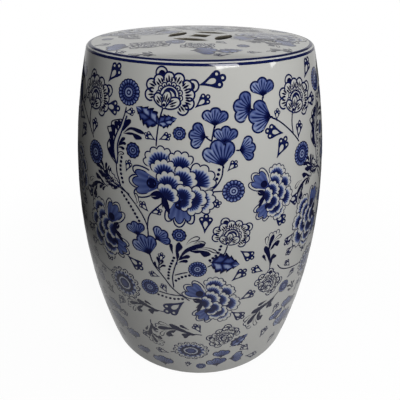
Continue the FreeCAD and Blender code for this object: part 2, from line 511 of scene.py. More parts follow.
def ribbon(path, width, tone, layer, closed=False, swell=None, under=None):
    """A brush line: the path moved half the width to both sides. Its ends are rounded, and swell, a
    function of the share of the way along, widens and thins it. Under does so for its right side alone."""
    path = np.asarray(path, float)
    ahead = np.roll(path, -1, 0) - np.roll(path, 1, 0) if closed else np.gradient(path, axis=0)
    ahead /= np.maximum(np.linalg.norm(ahead, axis=1), 1e-9)[:, None]
    side = np.column_stack([-ahead[:, 1], ahead[:, 0]])
    length = way_along(path)
    half = np.full(len(path), width / 2)
    if swell is not None:
        half = half * np.maximum(swell(length / length[-1]), THINNEST)
    elif not closed:
        near_end = np.clip(np.minimum(length, length[-1] - length) / (width / 2), 0, 1)
        half = half * np.maximum(np.sqrt(1 - (1 - near_end) ** 2), BLUNT)
    right = half if under is None else half * under(length / length[-1])
    points = np.vstack([path + side * half[:, None], path - side * right[:, None]])
    return patch(points, split_quads(grid_faces(2, len(path), wrap_columns=closed)), tone, layer)


def evened(line, step):
    """The same line with points at an even spacing."""
    length = way_along(line)
    at = np.linspace(0, length[-1], max(4, int(round(length[-1] / step)) + 1))
    return np.column_stack([np.interp(at, length, line[:, k]) for k in (0, 1)])


def curve(points, step=1.1, closed=False):
    """A smooth line through points, by the Catmull-Rom cubic between each two of them."""
    p = np.asarray(points, float)
    if closed:
        p = np.vstack([p[-1:], p, p[:2]])
    else:
        p = np.vstack([2 * p[:1] - p[1:2], p, 2 * p[-1:] - p[-2:-1]])
    a, b, c, d = (p[k:len(p) - 3 + k][:, None] for k in range(4))
    t = np.linspace(0, 1, 12, endpoint=False)[None, :, None]
    line = 0.5 * (2 * b + (c - a) * t + (2 * a - 5 * b + 4 * c - d) * t**2 + (3 * b - a - 3 * c + d) * t**3)
    line = evened(np.vstack([line.reshape(-1, 2), p[-2:-1]]), step)
    return line[:-1] if closed else line


bow = curve([(0, 0), (25, 3), (50, 0)])
print(f"a bow 50 mm wide is {way_along(bow)[-1]:.1f} mm long and has {len(bow)} points")

# %% [markdown]
# ## Spots and strokes
# A bead is a touch of the brush's tip, and a leaf or a petal's dark mark is one press of its side. Each
# could be an outline drawn by hand. As a ribbon whose width swells and falls by a formula it needs three
# points only, and all leaves look as if the same hand had painted them.

# %% Spots and strokes


def polar(radius, angle, centre=(0.0, 0.0)):
    """Points at radii and angles (radians) about a centre."""
    return np.asarray(centre) + np.column_stack([radius * np.cos(angle), radius * np.sin(angle)])


def set_out(x, y, facing, along, across):
    """Points so far along a direction, in degrees, and across it to the left, from (x, y)."""
    c, s = math.cos(math.radians(facing)), math.sin(math.radians(facing))
    return np.column_stack([x + along * c - across * s, y + along * s + across * c])


def dot(x, y, radius, tone=0.0, layer=2, count=12):
    """A round spot: one fan from its middle."""
    return fill((x, y), polar(radius, round_angles(count), (x, y)), tone, 1, layer)


def stroke(points, width, tone, layer):
    """A loaded-brush stroke, fine at both ends and fullest past the middle: width sin(pi t^0.8)^0.75."""
    return ribbon(curve(points, 0.9), width, tone, layer, swell=lambda t: np.sin(math.pi * t**0.8) ** 0.75)


def club(points, width, tone=0.0, layer=3, lobes=0):
    """A leaf in one press of the brush: it widens as (t / 0.75)^0.8 from its stalk and ends in a round
    tip. With lobes, its right side swings out that many times: half width * (0.45 + 1.1 |sin|)."""
    lobed = (lambda t: 0.45 + 1.1 * np.abs(np.sin(math.pi * lobes * t))) if lobes else None
    return ribbon(curve(points, 0.7), width, tone, layer, under=lobed, swell=lambda t: (
        np.minimum(t / 0.75, 1) ** 0.8 * np.sqrt(1 - np.clip((t - 0.75) / 0.25, 0, 1) ** 2)))


print(f"a dot has {len(dot(0, 0, 2)[1])} triangles, a leaf {len(club([(0, 0), (8, 3), (16, 3)], 6)[1])}")

# %% [markdown]
# ## Moving strokes and fading tones
# An engraver draws a motif once and repeats it at other sizes and tilts. Linked copies of an object do
# that in Blender, but each copy here is bent on the barrel at its own place afterwards. So the copies are
# made in the flat, while a stroke is still an array of millimetres. Tones fade by the smoothstep curve,
# as wet ink does, where a straight ramp would show a crease at both its ends.

# %% Moving strokes and fading tones


def moved(patches, size=1.0, tilt=0.0, mirror=False):
    """Copies of patches, mirrored left to right, scaled and tilted by degrees about their origin."""
    c, s = math.cos(math.radians(tilt)) * size, math.sin(math.radians(tilt)) * size
    turn = np.array([[c, s], [-s, c]])
    flip = np.array([-1.0, 1.0]) if mirror else np.array([1.0, 1.0])
    return [(points * flip @ turn, triangles[:, ::-1] if mirror else triangles, tone, layer)
            for points, triangles, tone, layer in patches]


def smoothstep(low, high, value):
    """0 below low, 1 above high and 3 t^2 - 2 t^3 between them."""
    t = np.clip((value - low) / (high - low), 0, 1)
    return t * t * (3 - 2 * t)


def scallop(w, count, power):
    """So many lobes along an edge on which w runs from -1 to 1: |sin(pi count (w + 1) / 2)| ^ power."""
    return np.abs(np.sin(math.pi * count * (w + 1) / 2)) ** power


def tell(name, strokes):
    """Prints how many strokes and triangles a motif has."""
    print(f"{name}: {len(strokes)} strokes, {sum(len(stroke[1]) for stroke in strokes)} triangles")


print("smoothstep from 0 to 1:", [round(float(smoothstep(0, 1, t)), 2) for t in (0.1, 0.3, 0.5, 0.7, 0.9)])

# %% [markdown]
# ## The motifs: peony
# The flowers are the common stock of blue-and-white wares: peonies, chrysanthemums, ginkgo leaves,
# scrolling leaves and beads. Each is a function that returns its strokes about its own middle in
# millimetres, so it can be laid down many times at other sizes and tilts. The peony leads. The engraver
# shades each of its petals from a dark heart in fine hairs, and leaves the petal's edge white. One fan
# does that: its radius has lobes, and its tone is a function of how far out and how far round a point is.

# %% Peony
BLUE_SHARE = 0.55           # how far out a petal is blue, as a share of its reach
GUARD_LOBES = 3             # lobes of a guard petal's edge


def petal(x, y, facing, reach, spread, scallops, layer, side):
    """A fan from its heart: radius = reach (0.86 + 0.14 lobes), blue from the heart to about half the
    reach in uneven rays, darker on one side, white outside, and a fine line round its scalloped edge."""
    def out_to(share, w):
        return share * (0.86 + 0.14 * scallop(w, scallops, 0.7)) * (1 - 0.16 * w**4)

    w = np.linspace(-1, 1, 12 * scallops + 1)
    edge = polar(out_to(reach, w), math.radians(facing) + w * math.radians(spread), (x, y))

    def tone(s, w):
        far = out_to(s, w) + 0.10 * w**2
        hair = np.cos(4.5 * math.pi * w) ** 2 * (1 - smoothstep(BLUE_SHARE + 0.10, BLUE_SHARE + 0.20, far))
        core = 1 - smoothstep(BLUE_SHARE - 0.16, BLUE_SHARE + 0.04, far)
        white = smoothstep(BLUE_SHARE + 0.02, BLUE_SHARE + 0.20, far)
        blue = 0.42 - 0.34 * core + 0.20 * side * w * (1 - core)
        return np.clip((white + (1 - white) * blue) * (1 - 0.85 * hair), 0, 1)

    heart = np.array([[x, y]])
    rim = np.vstack([heart + 0.35 * (edge[:1] - heart), edge, heart + 0.35 * (edge[-1:] - heart)])
    return [fill((x, y), edge, tone, 9, layer, closed=False), ribbon(rim, 1.6, PEN, layer + 0.5)]


def guard_petal(x, y, facing, reach, spread, layer):
    """One of the peony's outer petals: a double outline, a plain blue field and a dark spot."""
    facing, spread, heart = math.radians(facing), math.radians(spread), np.array([[x, y]])
    w = np.linspace(-1, 1, 14 * GUARD_LOBES + 1)
    shape = (0.80 + 0.20 * scallop(w, GUARD_LOBES, 0.8)) * (1 - 0.30 * np.abs(w) ** 3)
    outer = polar(reach * shape, facing + w * spread, (x, y))
    middle, spot = (polar(share * reach, np.array([facing]), (x, y)) for share in (0.58, 0.375))
    field = middle + 0.76 * (outer - middle)

    def tone(s, w):
        return 0.20 + 0.30 * s + 0.06 * np.sin(w * 14)

    return [fill((x, y), outer, 1.0, 2, layer, closed=False),
            ribbon(np.vstack([heart, outer, heart]), LINE, PEN, layer + 0.5),
            fill((x, y), field, tone, 6, layer + 1, closed=False),
            ribbon(field, 1.5, PEN, layer + 1.5),
            dot(*spot[0], 0.135 * reach, 0.0, layer + 2, 20)]


def peony():
    """The large peony: two guard petals behind, then petals from the back to the front, one per layer."""
    strokes = guard_petal(-2, 2.6, 182, 46.5, 37, 0) + guard_petal(15, -4, 267, 44.5, 35, 0)
    petals = [(-7.3, 22, 118, 24, 62, 5), (12.7, 19, 84, 23, 48, 4), (29, 4, 45, 26, 56, 4),
              (30, -14, -8, 24, 50, 4), (24, -14, -48, 20, 50, 3), (-5, 10, 88, 22, 62, 5),
              (12.7, 4.4, 50, 22, 58, 4), (26, -14, 30, 19, 56, 3), (-0.7, -3, 76, 22, 62, 5),
              (15, -15, -28, 14, 62, 3), (15, -13, 58, 18, 58, 3), (-5, -14, 52, 19, 68, 4)]
    for number, (x, y, facing, reach, spread, scallops) in enumerate(petals):
        strokes += petal(x, y, facing, reach, spread, scallops, 3 + number, side=1 if number % 2 else -1)
    top = 3 + len(petals)
    for width, *points in (
            (6.5, (-5, -14), (-12, -9), (-22, -13)), (6.5, (-3, -13), (-2, -22), (2, -33)),
            (4.0, (-6, -10), (-5.5, -18), (-6, -26)), (4.0, (-8, -12), (-15, -15), (-20, -14))):
        strokes.append(stroke(points, width, 0.0, top))
    return strokes


tell("peony", peony())

# %% [markdown]
# ## Chrysanthemum
# The white flower is drawn in line only: a ring of scalloped petals with three dark marks each, round a
# row of beads, a crescent and a heart of three lobes. Every part is a white sheet with a dark ribbon
# round it, laid from the back to the front, so that each hides what lies behind it as in the engraving.

# %% Chrysanthemum


def egg(x, y, facing, length, width, count=26):
    """An egg-shaped outline from its narrow end: along = L (1 - cos a) / 2, across = W/2 sin a, fuller
    towards the far end."""
    a = round_angles(count)
    along = length * (1 - np.cos(a)) / 2
    return set_out(x, y, facing, along, width / 2 * np.sin(a) * (0.72 + 0.42 * along / length))


def marks(x, y, facing, near, far, spread, width, layer):
    """Three short dark strokes side by side, spread mm apart, from near to far in one direction. The
    outer two are shorter and lean outwards."""
    strokes = []
    for step in (-1, 0, 1):
        reach = far - 0.28 * (far - near) * abs(step)
        along = np.array([near, (near + reach) / 2, reach])
        across = step * spread * np.array([1.0, 1.2, 1.35])
        strokes.append(stroke(set_out(x, y, facing, along, across), width, 0.0, layer))
    return strokes


def outlined(heart, outline, width, rows, layer, closed=False):
    """A white sheet from its heart to an outline, with a dark line along the outline."""
    return [fill(heart, outline, 1.0, rows, layer, closed), ribbon(outline, width, PEN, layer + 0.5, closed)]


def blossom():
    """A chrysanthemum seen from the side: a heart of three lobes, a crescent, a ring of beads and a
    fan of scalloped petals, each with three dark marks."""
    strokes = []
    for x, y in ((-9.5, 19), (26.5, 6.5)):
        strokes += [ribbon(polar(6.6, round_angles(30), (x, y)), LINE, PEN, 1, closed=True),
                    dot(0.94 * x, 0.94 * y, 4.2, 0.0, 1, 18)]
    for x, y, facing in ((-22.5, -4.5, 186), (-21, 6, 160), (-12, 11, 128), (-0.5, 14, 98), (10.5, 13, 62),
                         (19.5, 6, 32), (22.8, -3, 5), (22.5, -12, -18), (16.5, -18, -48)):
        lobe = polar(6.3, math.radians(facing) + np.linspace(-1.95, 1.95, 26), (x, y))
        foot = polar(-9.5, np.array([math.radians(facing)]), (x, y))[0]
        strokes += outlined((x, y), lobe, 2.1, 2, 2) + marks(*foot, facing, 5.0, 12.8, 2.5, 2.3, 3.5)
    for angle in np.radians(np.linspace(-32, 168, 9)):
        x, y = 0.3 + 12.6 * math.cos(angle), -5 + 12.6 * math.sin(angle)
        bead = polar(3.0, angle + np.linspace(-2, 2, 14), (x, y))
        strokes += [fill((x, y), bead, 1.0, 1, 4), ribbon(bead, 1.5, PEN, 4.5), dot(x, y, 1.1, 0.0, 4.5)]
    disc = polar(11.2, np.radians(np.linspace(-40, 176, 40)), (0.3, -5))
    crescent = polar(7.2, np.radians(np.linspace(-22, 158, 30)), (0.3, -4.6))
    strokes += outlined((0.3, -5), disc, 1.9, 3, 5)
    strokes.append(ribbon(crescent, 3.6, PEN, 5.5, swell=lambda t: np.sin(math.pi * t) ** 0.6))
    for order, (facing, length, width) in enumerate(((128, 17, 11), (22, 20, 12.5), (74, 17.5, 10.5))):
        lobe = egg(-5.6, -16.5, facing, length, width)
        strokes += outlined(lobe.mean(axis=0), lobe, 2.0, 2, 6 + order, closed=True)
        strokes += marks(-5.6, -16.5, facing, 0.34 * length, 0.84 * length, 2.2, 2.2, 6.5 + order)
    bud = egg(-5.8, -18.5, 85, 8.5, 6)
    strokes += outlined(bud.mean(axis=0), bud, 1.5, 1, 9, closed=True) + [dot(-5.6, -14.6, 2.0, 0.0, 9.5)]
    return [(points * (0.93, 0.97), *rest) for points, *rest in strokes]


tell("chrysanthemum", blossom())

# %% [markdown]
# ## Rosette, button and daisy
# Three flowers are seen from the front. They have the same build everywhere round, so each is one disc
# of ink whose rings are a table of tones from the middle to the edge, cut up by rays. That takes a
# hundredth of the strokes that drawing each ring and ray would.

# %% Rosette, button and daisy


def rays(count, w):
    """A wave of so many rays round a flower, 1 in the middle of each and 0 between them."""
    return 0.5 + 0.5 * np.cos(count * math.pi * w)


def rosette(radius=15.0, petals=18):
    """A flower seen from the front: rings of tone from the middle out, and a scalloped dark edge."""
    a = round_angles(petals * 6)
    edge = polar(radius * (0.95 + 0.05 * np.abs(np.sin(petals * a / 2)) ** 0.7), a)

    def tone(s, w):
        rings = np.interp(
            s, [0, 0.08, 0.11, 0.18, 0.22, 0.32, 0.36, 0.42, 0.46, 0.54, 0.58, 0.62, 0.68, 0.88, 0.93, 1.0],
            [0.8, 0.8, 0.0, 0.0, 0.68, 0.68, 0.0, 0.05, 0.45, 0.45, 0.0, 0.0, 0.42, 0.78, 0.0, 0.0])
        return rings * (1 - 0.95 * rays(petals, w) ** 1.5 * smoothstep(0.42, 0.5, s))

    return [fill((0, 0), edge, tone, 22, 1)]


def button(radius=8.0):
    """A small flower from the front, with ten rays and fewer rings."""
    a = round_angles(60)
    edge = polar(radius * (0.96 + 0.04 * np.cos(10 * a)), a)

    def tone(s, w):
        rings = np.interp(s, [0, 0.1, 0.15, 0.26, 0.32, 0.42, 0.48, 0.58, 0.64, 0.80, 0.86, 1.0],
                          [0.7, 0.7, 0.0, 0.0, 0.6, 0.6, 0.0, 0.0, 0.40, 0.50, 0.0, 0.0])
        return rings * (1 - 0.8 * rays(10, w) ** 2 * smoothstep(0.6, 0.7, s))

    return [fill((0, 0), edge, tone, 16, 1)]


def daisy(radius=24.0, petals=20, squash=0.9):
    """A white daisy: outlined petals round a ring of dark marks and a pale eye."""
    strokes = []
    for angle in round_angles(petals):
        x, y = 0.85 * radius * math.cos(angle), 0.85 * radius * math.sin(angle)
        lobe = polar(0.15 * radius, angle + np.linspace(-1.75, 1.75, 12), (x, y))
        mark = polar(np.array([0.58, 0.7, 0.92]) * radius, np.full(3, angle))
        strokes += [ribbon(lobe, 1.7, PEN, 1), stroke(mark, 2.6, 0.0, 1)]

    def tone(s, w):
        rings = np.interp(s, [0, 0.25, 0.31, 0.38, 0.43, 0.50, 0.55, 0.75, 1.0],
                          [0.35, 0.35, 0.0, 0.05, 1.0, 1.0, 0.0, 0.0, 0.1])
        return rings + 0.95 * rays(petals, w) * smoothstep(0.70, 0.86, s)

    strokes.append(fill((0, 0), polar(0.76 * radius, round_angles(petals * 5)), tone, 20, 2))
    return [(points * (1, squash), *rest) for points, *rest in strokes]


tell("rosette", rosette())
tell("button", button())
tell("daisy", daisy())

# %% [markdown]
# ## Ginkgo leaf
# A fan with three lobes on a stalk, mid-blue, with short dark veins that stop before the edge and a dark
# foot. The veins are part of the fan's tone: a comb of narrow dips across it, whose length sways, so no
# two veins end on one line.

# %% Ginkgo leaf
GINKGO_LOBES = 3
GINKGO_TONE = 0.66          # its palest blue


def ginkgo(reach=19.0, spread=64, long=0.0):
    """A ginkgo leaf: a fan of radius reach (0.80 + 0.20 lobes) on its stalk, longer in the middle by
    the share long, pale blue with dark veins that spread from the heart, which is dark."""
    w = np.linspace(-1, 1, 97)
    radius = reach * (0.80 + 0.20 * scallop(w, GINKGO_LOBES, 0.55)) * (1 - 0.10 * np.abs(w) ** 6)
    edge = polar(radius * (1 + long * np.cos(math.pi * w / 2)), math.pi / 2 - w * math.radians(spread))

    def tone(s, w):
        sweep = w + 0.14 * s * (1 - s)
        reach_in = 0.74 + 0.08 * np.cos(11 * w + 1)
        comb = np.sin(math.pi * 4.5 * (sweep + 0.03)) / (0.50 + 0.30 * (1 - s))
        vein = np.exp(-(comb**2)) * (1 - smoothstep(reach_in, reach_in + 0.14, s))
        heart = 1 - smoothstep(0.22, 0.42, s)
        streak = 0.5 + 0.5 * np.cos(math.pi * 9 * sweep)
        ground = GINKGO_TONE - 0.20 * smoothstep(0.2, 1.0, w) - 0.10 * np.sin(3 * w + 1) * s - 0.12 * streak
        return np.clip(ground, 0, 1) * (1 - 0.95 * vein) * (1 - heart)

    return [fill((0, 0), edge, tone, 11, 2, closed=False),
            ribbon(np.vstack([[[0.0, 0.0]], edge, [[0.0, 0.0]]]), LINE, PEN, 2.5),
            stroke([(0, 3), (0, 0), (0.5, -3)], 2.4, 0.0, 2.5)]


tell("ginkgo leaf", ginkgo())

# %% [markdown]
# ## Beaded drop
# Small drops with three ringed beads fill the gaps between the flowers. Each is solid blue with the
# white left out, so the white parts are laid on top in the glaze's own tone.

# %% Beaded drop


def beaded_drop(length=29.0):
    """A spade with a white heart and three ringed beads on its blunt end; the tip points to -x."""
    side = np.array([
        (-14.5, 0.3), (-9, 2.2), (-3, 5.1), (1.5, 7.8), (5.5, 9.2), (8.6, 7.9), (9.4, 4.8), (9, 2)])
    drop = curve(np.vstack([side, side[::-1] * (1, -1)]), 1.2, closed=True)
    heart = egg(-7.4, 0, 0, 11.0, 6.0, 24)
    heart[:, 1] *= np.clip((heart[:, 0] + 7.4) / 6, 0.1, 1) ** 0.5     # comes to a point at its tip
    strokes = [fill((0, 0), drop, PEN, 3, 1), fill(heart.mean(axis=0), heart, 1.0, 1, 2.5)]
    for order, (x, y) in enumerate(((6.0, 5.5), (6.0, -5.5), (11.0, 0))):
        strokes += [dot(x, y, 4.0, PEN, 1.5 + 0.2 * order, 20), dot(x, y, 1.45, 1.0, 2.5, 14)]
    return moved(strokes, length / 29)      # it is drawn 29 mm long


tell("beaded drop", beaded_drop())

# %% [markdown]
# ## Serrated leaf
# The rose leaf has a toothed edge, a dark midrib and pale streaks that slant between the side veins. It
# is a grid from tip to tip and from edge to edge, and both its width and its tone are functions of those
# two numbers.

# %% Serrated leaf
TEETH = 5                   # on each side of the leaf
LEAF_TONE = 0.42            # its blue on the lit half, before the veins


def serrated_leaf(length=27.0, width=17.0):
    """A leaf along +x: half width = W/2 sin(pi t^0.72)^0.85 with teeth, a dark edge, a dark midrib and
    pale slanting streaks between the side veins."""
    t = np.linspace(0, 1, 8 * TEETH + 1)
    body = np.sin(math.pi * t**0.72) ** 0.85 * (1.05 - 0.2 * t)
    tooth = 1 + 0.36 * (0.5 - np.mod(t * TEETH, 1)) * (body > 0.05)
    u, v = t[None, :], np.linspace(-1, 1, 19)[:, None]
    points = np.stack([length * (u - 0.5) + 0 * v, width / 2 * body * tooth * v], axis=-1)
    vein = np.exp(-((np.sin(math.pi * (TEETH - 2) * (u - 0.22 * np.abs(v))) / 0.48) ** 2))
    tone = (LEAF_TONE + 0.30 * (v < 0)) * (1 - vein) * (1 - smoothstep(0.50, 0.80, np.abs(v)))
    tone = tone * smoothstep(0.0, 0.2, np.abs(v)) + 0 * u
    triangles = split_quads(grid_faces(len(v), len(t)))
    return [patch(points.reshape(-1, 2), triangles, np.clip(tone, 0, 1).ravel(), 2),
            stroke([(-length / 2 - 3, 0), (-length / 2, 0), (-length / 4, 0)], 1.8, 0.0, 2)]


tell("serrated leaf", serrated_leaf())

# %% [markdown]
# ## Leaf sprays
# Between the flowers run leafy sprays. Their leaves are single presses of a round brush, fine at the
# stalk and blunt at the tip, and some are drawn as outlines only. So each leaf is a club stroke along
# three points, and an outlined leaf is a dark club with a white one on top.

# %% Leaf sprays


def clubs(leaves, layer=3):
    """Leaves of one press each, given as rows: base, bend, tip, width and, if it has any, lobes."""
    return [club([base, bend, tip], width, 0.0, layer, *lobes) for base, bend, tip, width, *lobes in leaves]


def pod(base, bend, tip, width):
    """A leaf drawn as an outline only: a dark club with a narrower white one on top."""
    base, bend, tip = (np.asarray(p, float) for p in (base, bend, tip))
    inner = tip + (bend - tip) / np.linalg.norm(bend - tip) * 1.4
    return [club([base, bend, tip], width, 0.0, 3), club([base, bend, inner], width - 2.9, 1.0, 3.5)]


def acanthus():
    """A tall scrolling leaf that grows up from (0, 0): a pale channel between two lines, solid lobes in
    an outlined scalloped fringe on its left, and loose stalked leaves on its right."""
    strokes = [ribbon(curve([(1.4, 0), (2, 14), (1.5, 29), (5, 44), (8.5, 58), (11, 70)]), LINE, PEN, 2),
               ribbon(curve([(0, 0), (-3, 14), (-3.6, 30), (0, 44), (4.5, 56), (6, 64)]), LINE, PEN, 2),
               ribbon(curve([(0, 0), (-6, 7), (-11, 16), (-12.5, 25), (-9, 34), (-10, 39), (-13, 48),
                             (-8.5, 51), (-7, 58), (0, 62), (6, 64)]), 1.6, 0, 2)]
    strokes += clubs([
        ((-1, 4), (-6, 12), (-8.5, 22), 6.5), ((-3, 14), (-6, 22), (-7, 33), 6.5),
        ((-3, 27), (-6.5, 34), (-8, 44), 6.5), ((-2, 36), (-4.5, 44), (-5.5, 54), 6.5),
        ((1, 46), (-1, 53), (-1.5, 60), 6.0), ((3, 52), (2, 57), (2.5, 62), 4.5),
    ], layer=2.5)
    strokes += clubs([
        ((7.5, 48), (10, 55), (15, 66), 6.0), ((8, 46), (17, 54), (31, 50), 5.6),
        ((8, 45), (17, 47), (29, 42), 5.6, 2), ((2.8, 28), (7, 36), (10, 40), 4.6),
        ((2.4, 26), (7, 31), (12, 32), 4.4), ((2.2, 24), (6, 25.5), (10, 23), 4.2),
    ])
    strokes += pod((2, 10), (5, 17), (10, 17), 4.8)
    return [(points * (1.18, 0.82), *rest) for points, *rest in strokes]


def spray():
    """A short spray whose leaves fan out from (0, 0) to the right, two of them drawn as outlines only."""
    stalk = ribbon(curve([(-1, -6), (-0.4, -2), (0, 2)]), 1.7, PEN, 2)
    leaves = clubs([
        ((-5, 9), (-6.5, 15.5), (-7.5, 24), 4.4), ((0, -1), (0.5, 12), (3, 27), 6.6, 2),
        ((0.5, 0), (12, 16), (33, 24.5), 7.2), ((14, 15), (26, 14.5), (40, 10), 6.8, 2),
        ((1, 1), (8, 5.5), (15.5, 8), 5.4), ((1, -2), (7, 0.2), (13, 0.5), 4.8),
    ])
    pods = pod((11, 23.5), (17, 30), (27, 34), 6.8) + pod((23, 19), (36, 18.5), (48, 12.5), 5.2)
    return [stalk] + leaves + pods


def frond():
    """A long spray that runs to the right from (0, 0): solid leaves at its foot and along its back, and
    a tip of outlined petals round one dark one."""
    strokes = [ribbon(curve([(-5, -1), (0, 0), (14, 2.5), (31, 7.5)]), 1.7, PEN, 2)]
    strokes += clubs([
        ((1, 0.5), (11, 0), (23, -3), 6.6, 2), ((8, 0), (15, -2.5), (19, -8.5), 5.6),
        ((7, 2), (22, 7), (39, 16.5), 8.4), ((12.5, 9.5), (18, 13), (25, 17.5), 4.8),
        ((29, 7.8), (42, 7.6), (56, 4.2), 7.6), ((30, 6), (38, 0), (42, -10), 8.0, 2),
    ])
    for x, y, facing in ((57.5, 2.5, -15), (56.5, 9, 35), (59, -3, -40)):
        edge = polar(3.2, math.radians(facing) + np.linspace(-1.9, 1.9, 14), (x, y))
        strokes.append(ribbon(edge, 1.4, PEN, 2.5))
    return strokes + pod((39, 11), (46, 15), (55, 15), 7.4) + pod((43, 3), (49, -4), (52, -12), 7.0)


def jagged_leaf():
    """A small leaf along +x whose both sides are torn into points, drawn as an outline only."""
    side = np.array([
        (0, 0), (4, 2.4), (6, 1.8), (8, 5.2), (11.5, 3.2), (13, 7.4), (18, 5.0), (20.5, 8.4), (25, 2.5)])
    edge = np.vstack([side, side[:0:-1] * (1, -0.55)])
    return [fill((12, 0.5), edge, 1.0, 2, 2), ribbon(evened(np.vstack([edge, edge[:1]]), 0.8), 1.5, PEN, 2.5)]


def sprig():
    """A small upright sprig of four solid leaves."""
    return [ribbon(curve([(0, 0), (0, 8), (3, 16)]), LINE, PEN, 2)] + clubs([
        ((0, 2), (-5, 9), (-5, 17), 4.2), ((0, 4), (6, 9), (12, 9), 4.2), ((0, 8), (2, 16), (1, 26), 4.6),
        ((1, 10), (7, 15), (9, 20), 3.8)])


for leafy in (acanthus, spray, frond, jagged_leaf, sprig):
    tell(leafy.__name__.replace("_", " "), leafy())

# %% [markdown]
# ## Vines and beads
# Thin stems tie the flowers together, and rows of round beads follow them. Both go along a smooth line
# through a few stops, which are given later on the sheet itself.

# %% Vines and beads


def vine(points):
    """A stem through points, 1.8 mm wide."""
    return [ribbon(curve(points, 1.6), 1.8, 0.03, 1)]


def beads(points):
    """A row of round dots along a line, 3.8 mm wide and about 5 mm apart."""
    return [dot(x, y, 1.9, 0.02, 1) for x, y in evened(curve(points, 1.0), 5.0)]


tell("a vine 50 mm long", vine([(0, 0), (25, 3), (50, 0)]))
tell("its beads", beads([(0, 0), (25, 3), (50, 0)]))

# %% [markdown]
# ## The transfer sheet
# The print comes as sheets that repeat round the barrel, a little over a quarter of the way round
# each, as the same rosette and spray show again at the photograph's right edge. One sheet is laid out
# in this step and the next ones: every motif has a turn in degrees and a height in mm, read off the
# photograph, and if need be a size, a tilt and a mirror image. The large peonies come first.

# %% Lay motifs on the sheet
sheet = {}


def lay(kind, strokes, turn, height, size=1.0, tilt=0.0, mirror=False):
    """Puts strokes on the sheet, in mm, turn degrees round and height mm up."""
    sheet.setdefault(kind, []).extend(
        (points, triangles, tone, layer, turn, height)
        for points, triangles, tone, layer in moved(strokes, size, tilt, mirror))


def scatter(kind, strokes, places):
    """Lays the same strokes at several places, each given as turn, height, size, tilt and mirror."""
    for place in places:
        lay(kind, strokes, *place)


def lay_line(kind, make, stops):
    """Draws a vine or a row of beads through stops given as (turn, height): each is turned into mm
    along the arc and mm round the barrel at its own height."""
    stops = np.asarray(stops, float)
    angle = arc_angle(stops[:, 1] / 1000)
    round_it = np.radians(stops[:, 0] - stops[0, 0]) * arc_point(angle)[0] * 1000
    along = (angle - angle[0]) * ARC_RADIUS * 1000
    lay(kind, make(np.column_stack([round_it, along])), *stops[0])


def count_strokes(kinds):
    """Prints how many strokes of each kind the sheet holds."""
    print({kind: len(sheet[kind]) for kind in kinds})


scatter("print_peonies", peony(), [
    (-12, 320), (28.3, 307, 0.72, -45), (3.9, 165, 0.80, -36), (-40, 250, 0.86, 62, True)])
count_strokes(["print_peonies"])

# %% [markdown]
# ## The flowers on the sheet
# The peonies are down. Chrysanthemums, rosettes and daisies go between them, one large flower to every
# hand's breadth, as an engraver spreads them so that the eye finds no rows.

# %% Flowers
scatter("print_blossoms", blossom(), [
    (-12.2, 422), (43.6, 408), (12.2, 262, 0.85), (30.6, 175, 0.82, -30), (11.1, 90, 0.84, 60)])

for turn, height, radius, petals in [
    (-30, 417, 14.6, 20), (46.3, 340, 15.2, 20), (12.8, 315, 13.6, 16), (-0.8, 214, 11.6, 18),
    (-21.1, 177, 12.4, 18), (41.3, 153, 10, 14), (0.9, 23, 7.5, 12),
]:
    lay("print_rosettes", rosette(radius, petals), turn, height)
for turn, height, radius in [(-7.8, 380, 7.6), (-26.7, 356, 9.6), (-7.8, 261, 9)]:
    lay("print_rosettes", button(radius), turn, height)
for turn, height, radius, squash in [(-34.4, 168, 25, 1.0), (-4.2, 62, 25, 0.82)]:
    lay("print_rosettes", daisy(radius, 14, squash), turn, height)
count_strokes(["print_blossoms", "print_rosettes"])

# %% [markdown]
# ## The ginkgo leaves and the drops on the sheet
# Ginkgo leaves stand in sprays of three or more, and the drops fill what is left, each turned another
# way. The leaf of a spray that faces the eye is the largest, and is drawn longer in its middle.

# %% Ginkgo leaves and drops
LARGE_LEAF = 23             # mm; from this reach on a ginkgo leaf is drawn longer in its middle
for turn, height, reach, spread, tilt in [
    (25.9, 415, 19, 65, 0), (20.2, 403, 20, 72, 72), (29.1, 392, 23.5, 58, 82), (5.6, 388.5, 18.5, 62, -4),
    (9.6, 369, 18.7, 58, -3), (2.2, 377, 18, 64, 82), (8.7, 345, 25, 56, 16), (15.2, 361, 18.5, 60, -85),
    (-25, 252, 18, 58, 15), (-17, 252, 17.5, 64, -50), (-20, 228.5, 24, 56, 26), (-20, 15, 22, 60, 5),
    (-31, 27, 17, 58, 20), (9.6, 22, 20, 60, 5), (16.8, 34, 20, 52, -88), (11.5, 43, 17, 58, 0),
    (41.5, 90, 18, 58, 14), (47.5, 101, 19, 60, -12), (-45.5, 64, 26, 60, 5), (-36, 57, 18, 58, 10),
]:
    lay("print_ginkgo", ginkgo(reach, spread, 0.18 if reach > LARGE_LEAF else 0.0), turn, height, tilt=tilt)

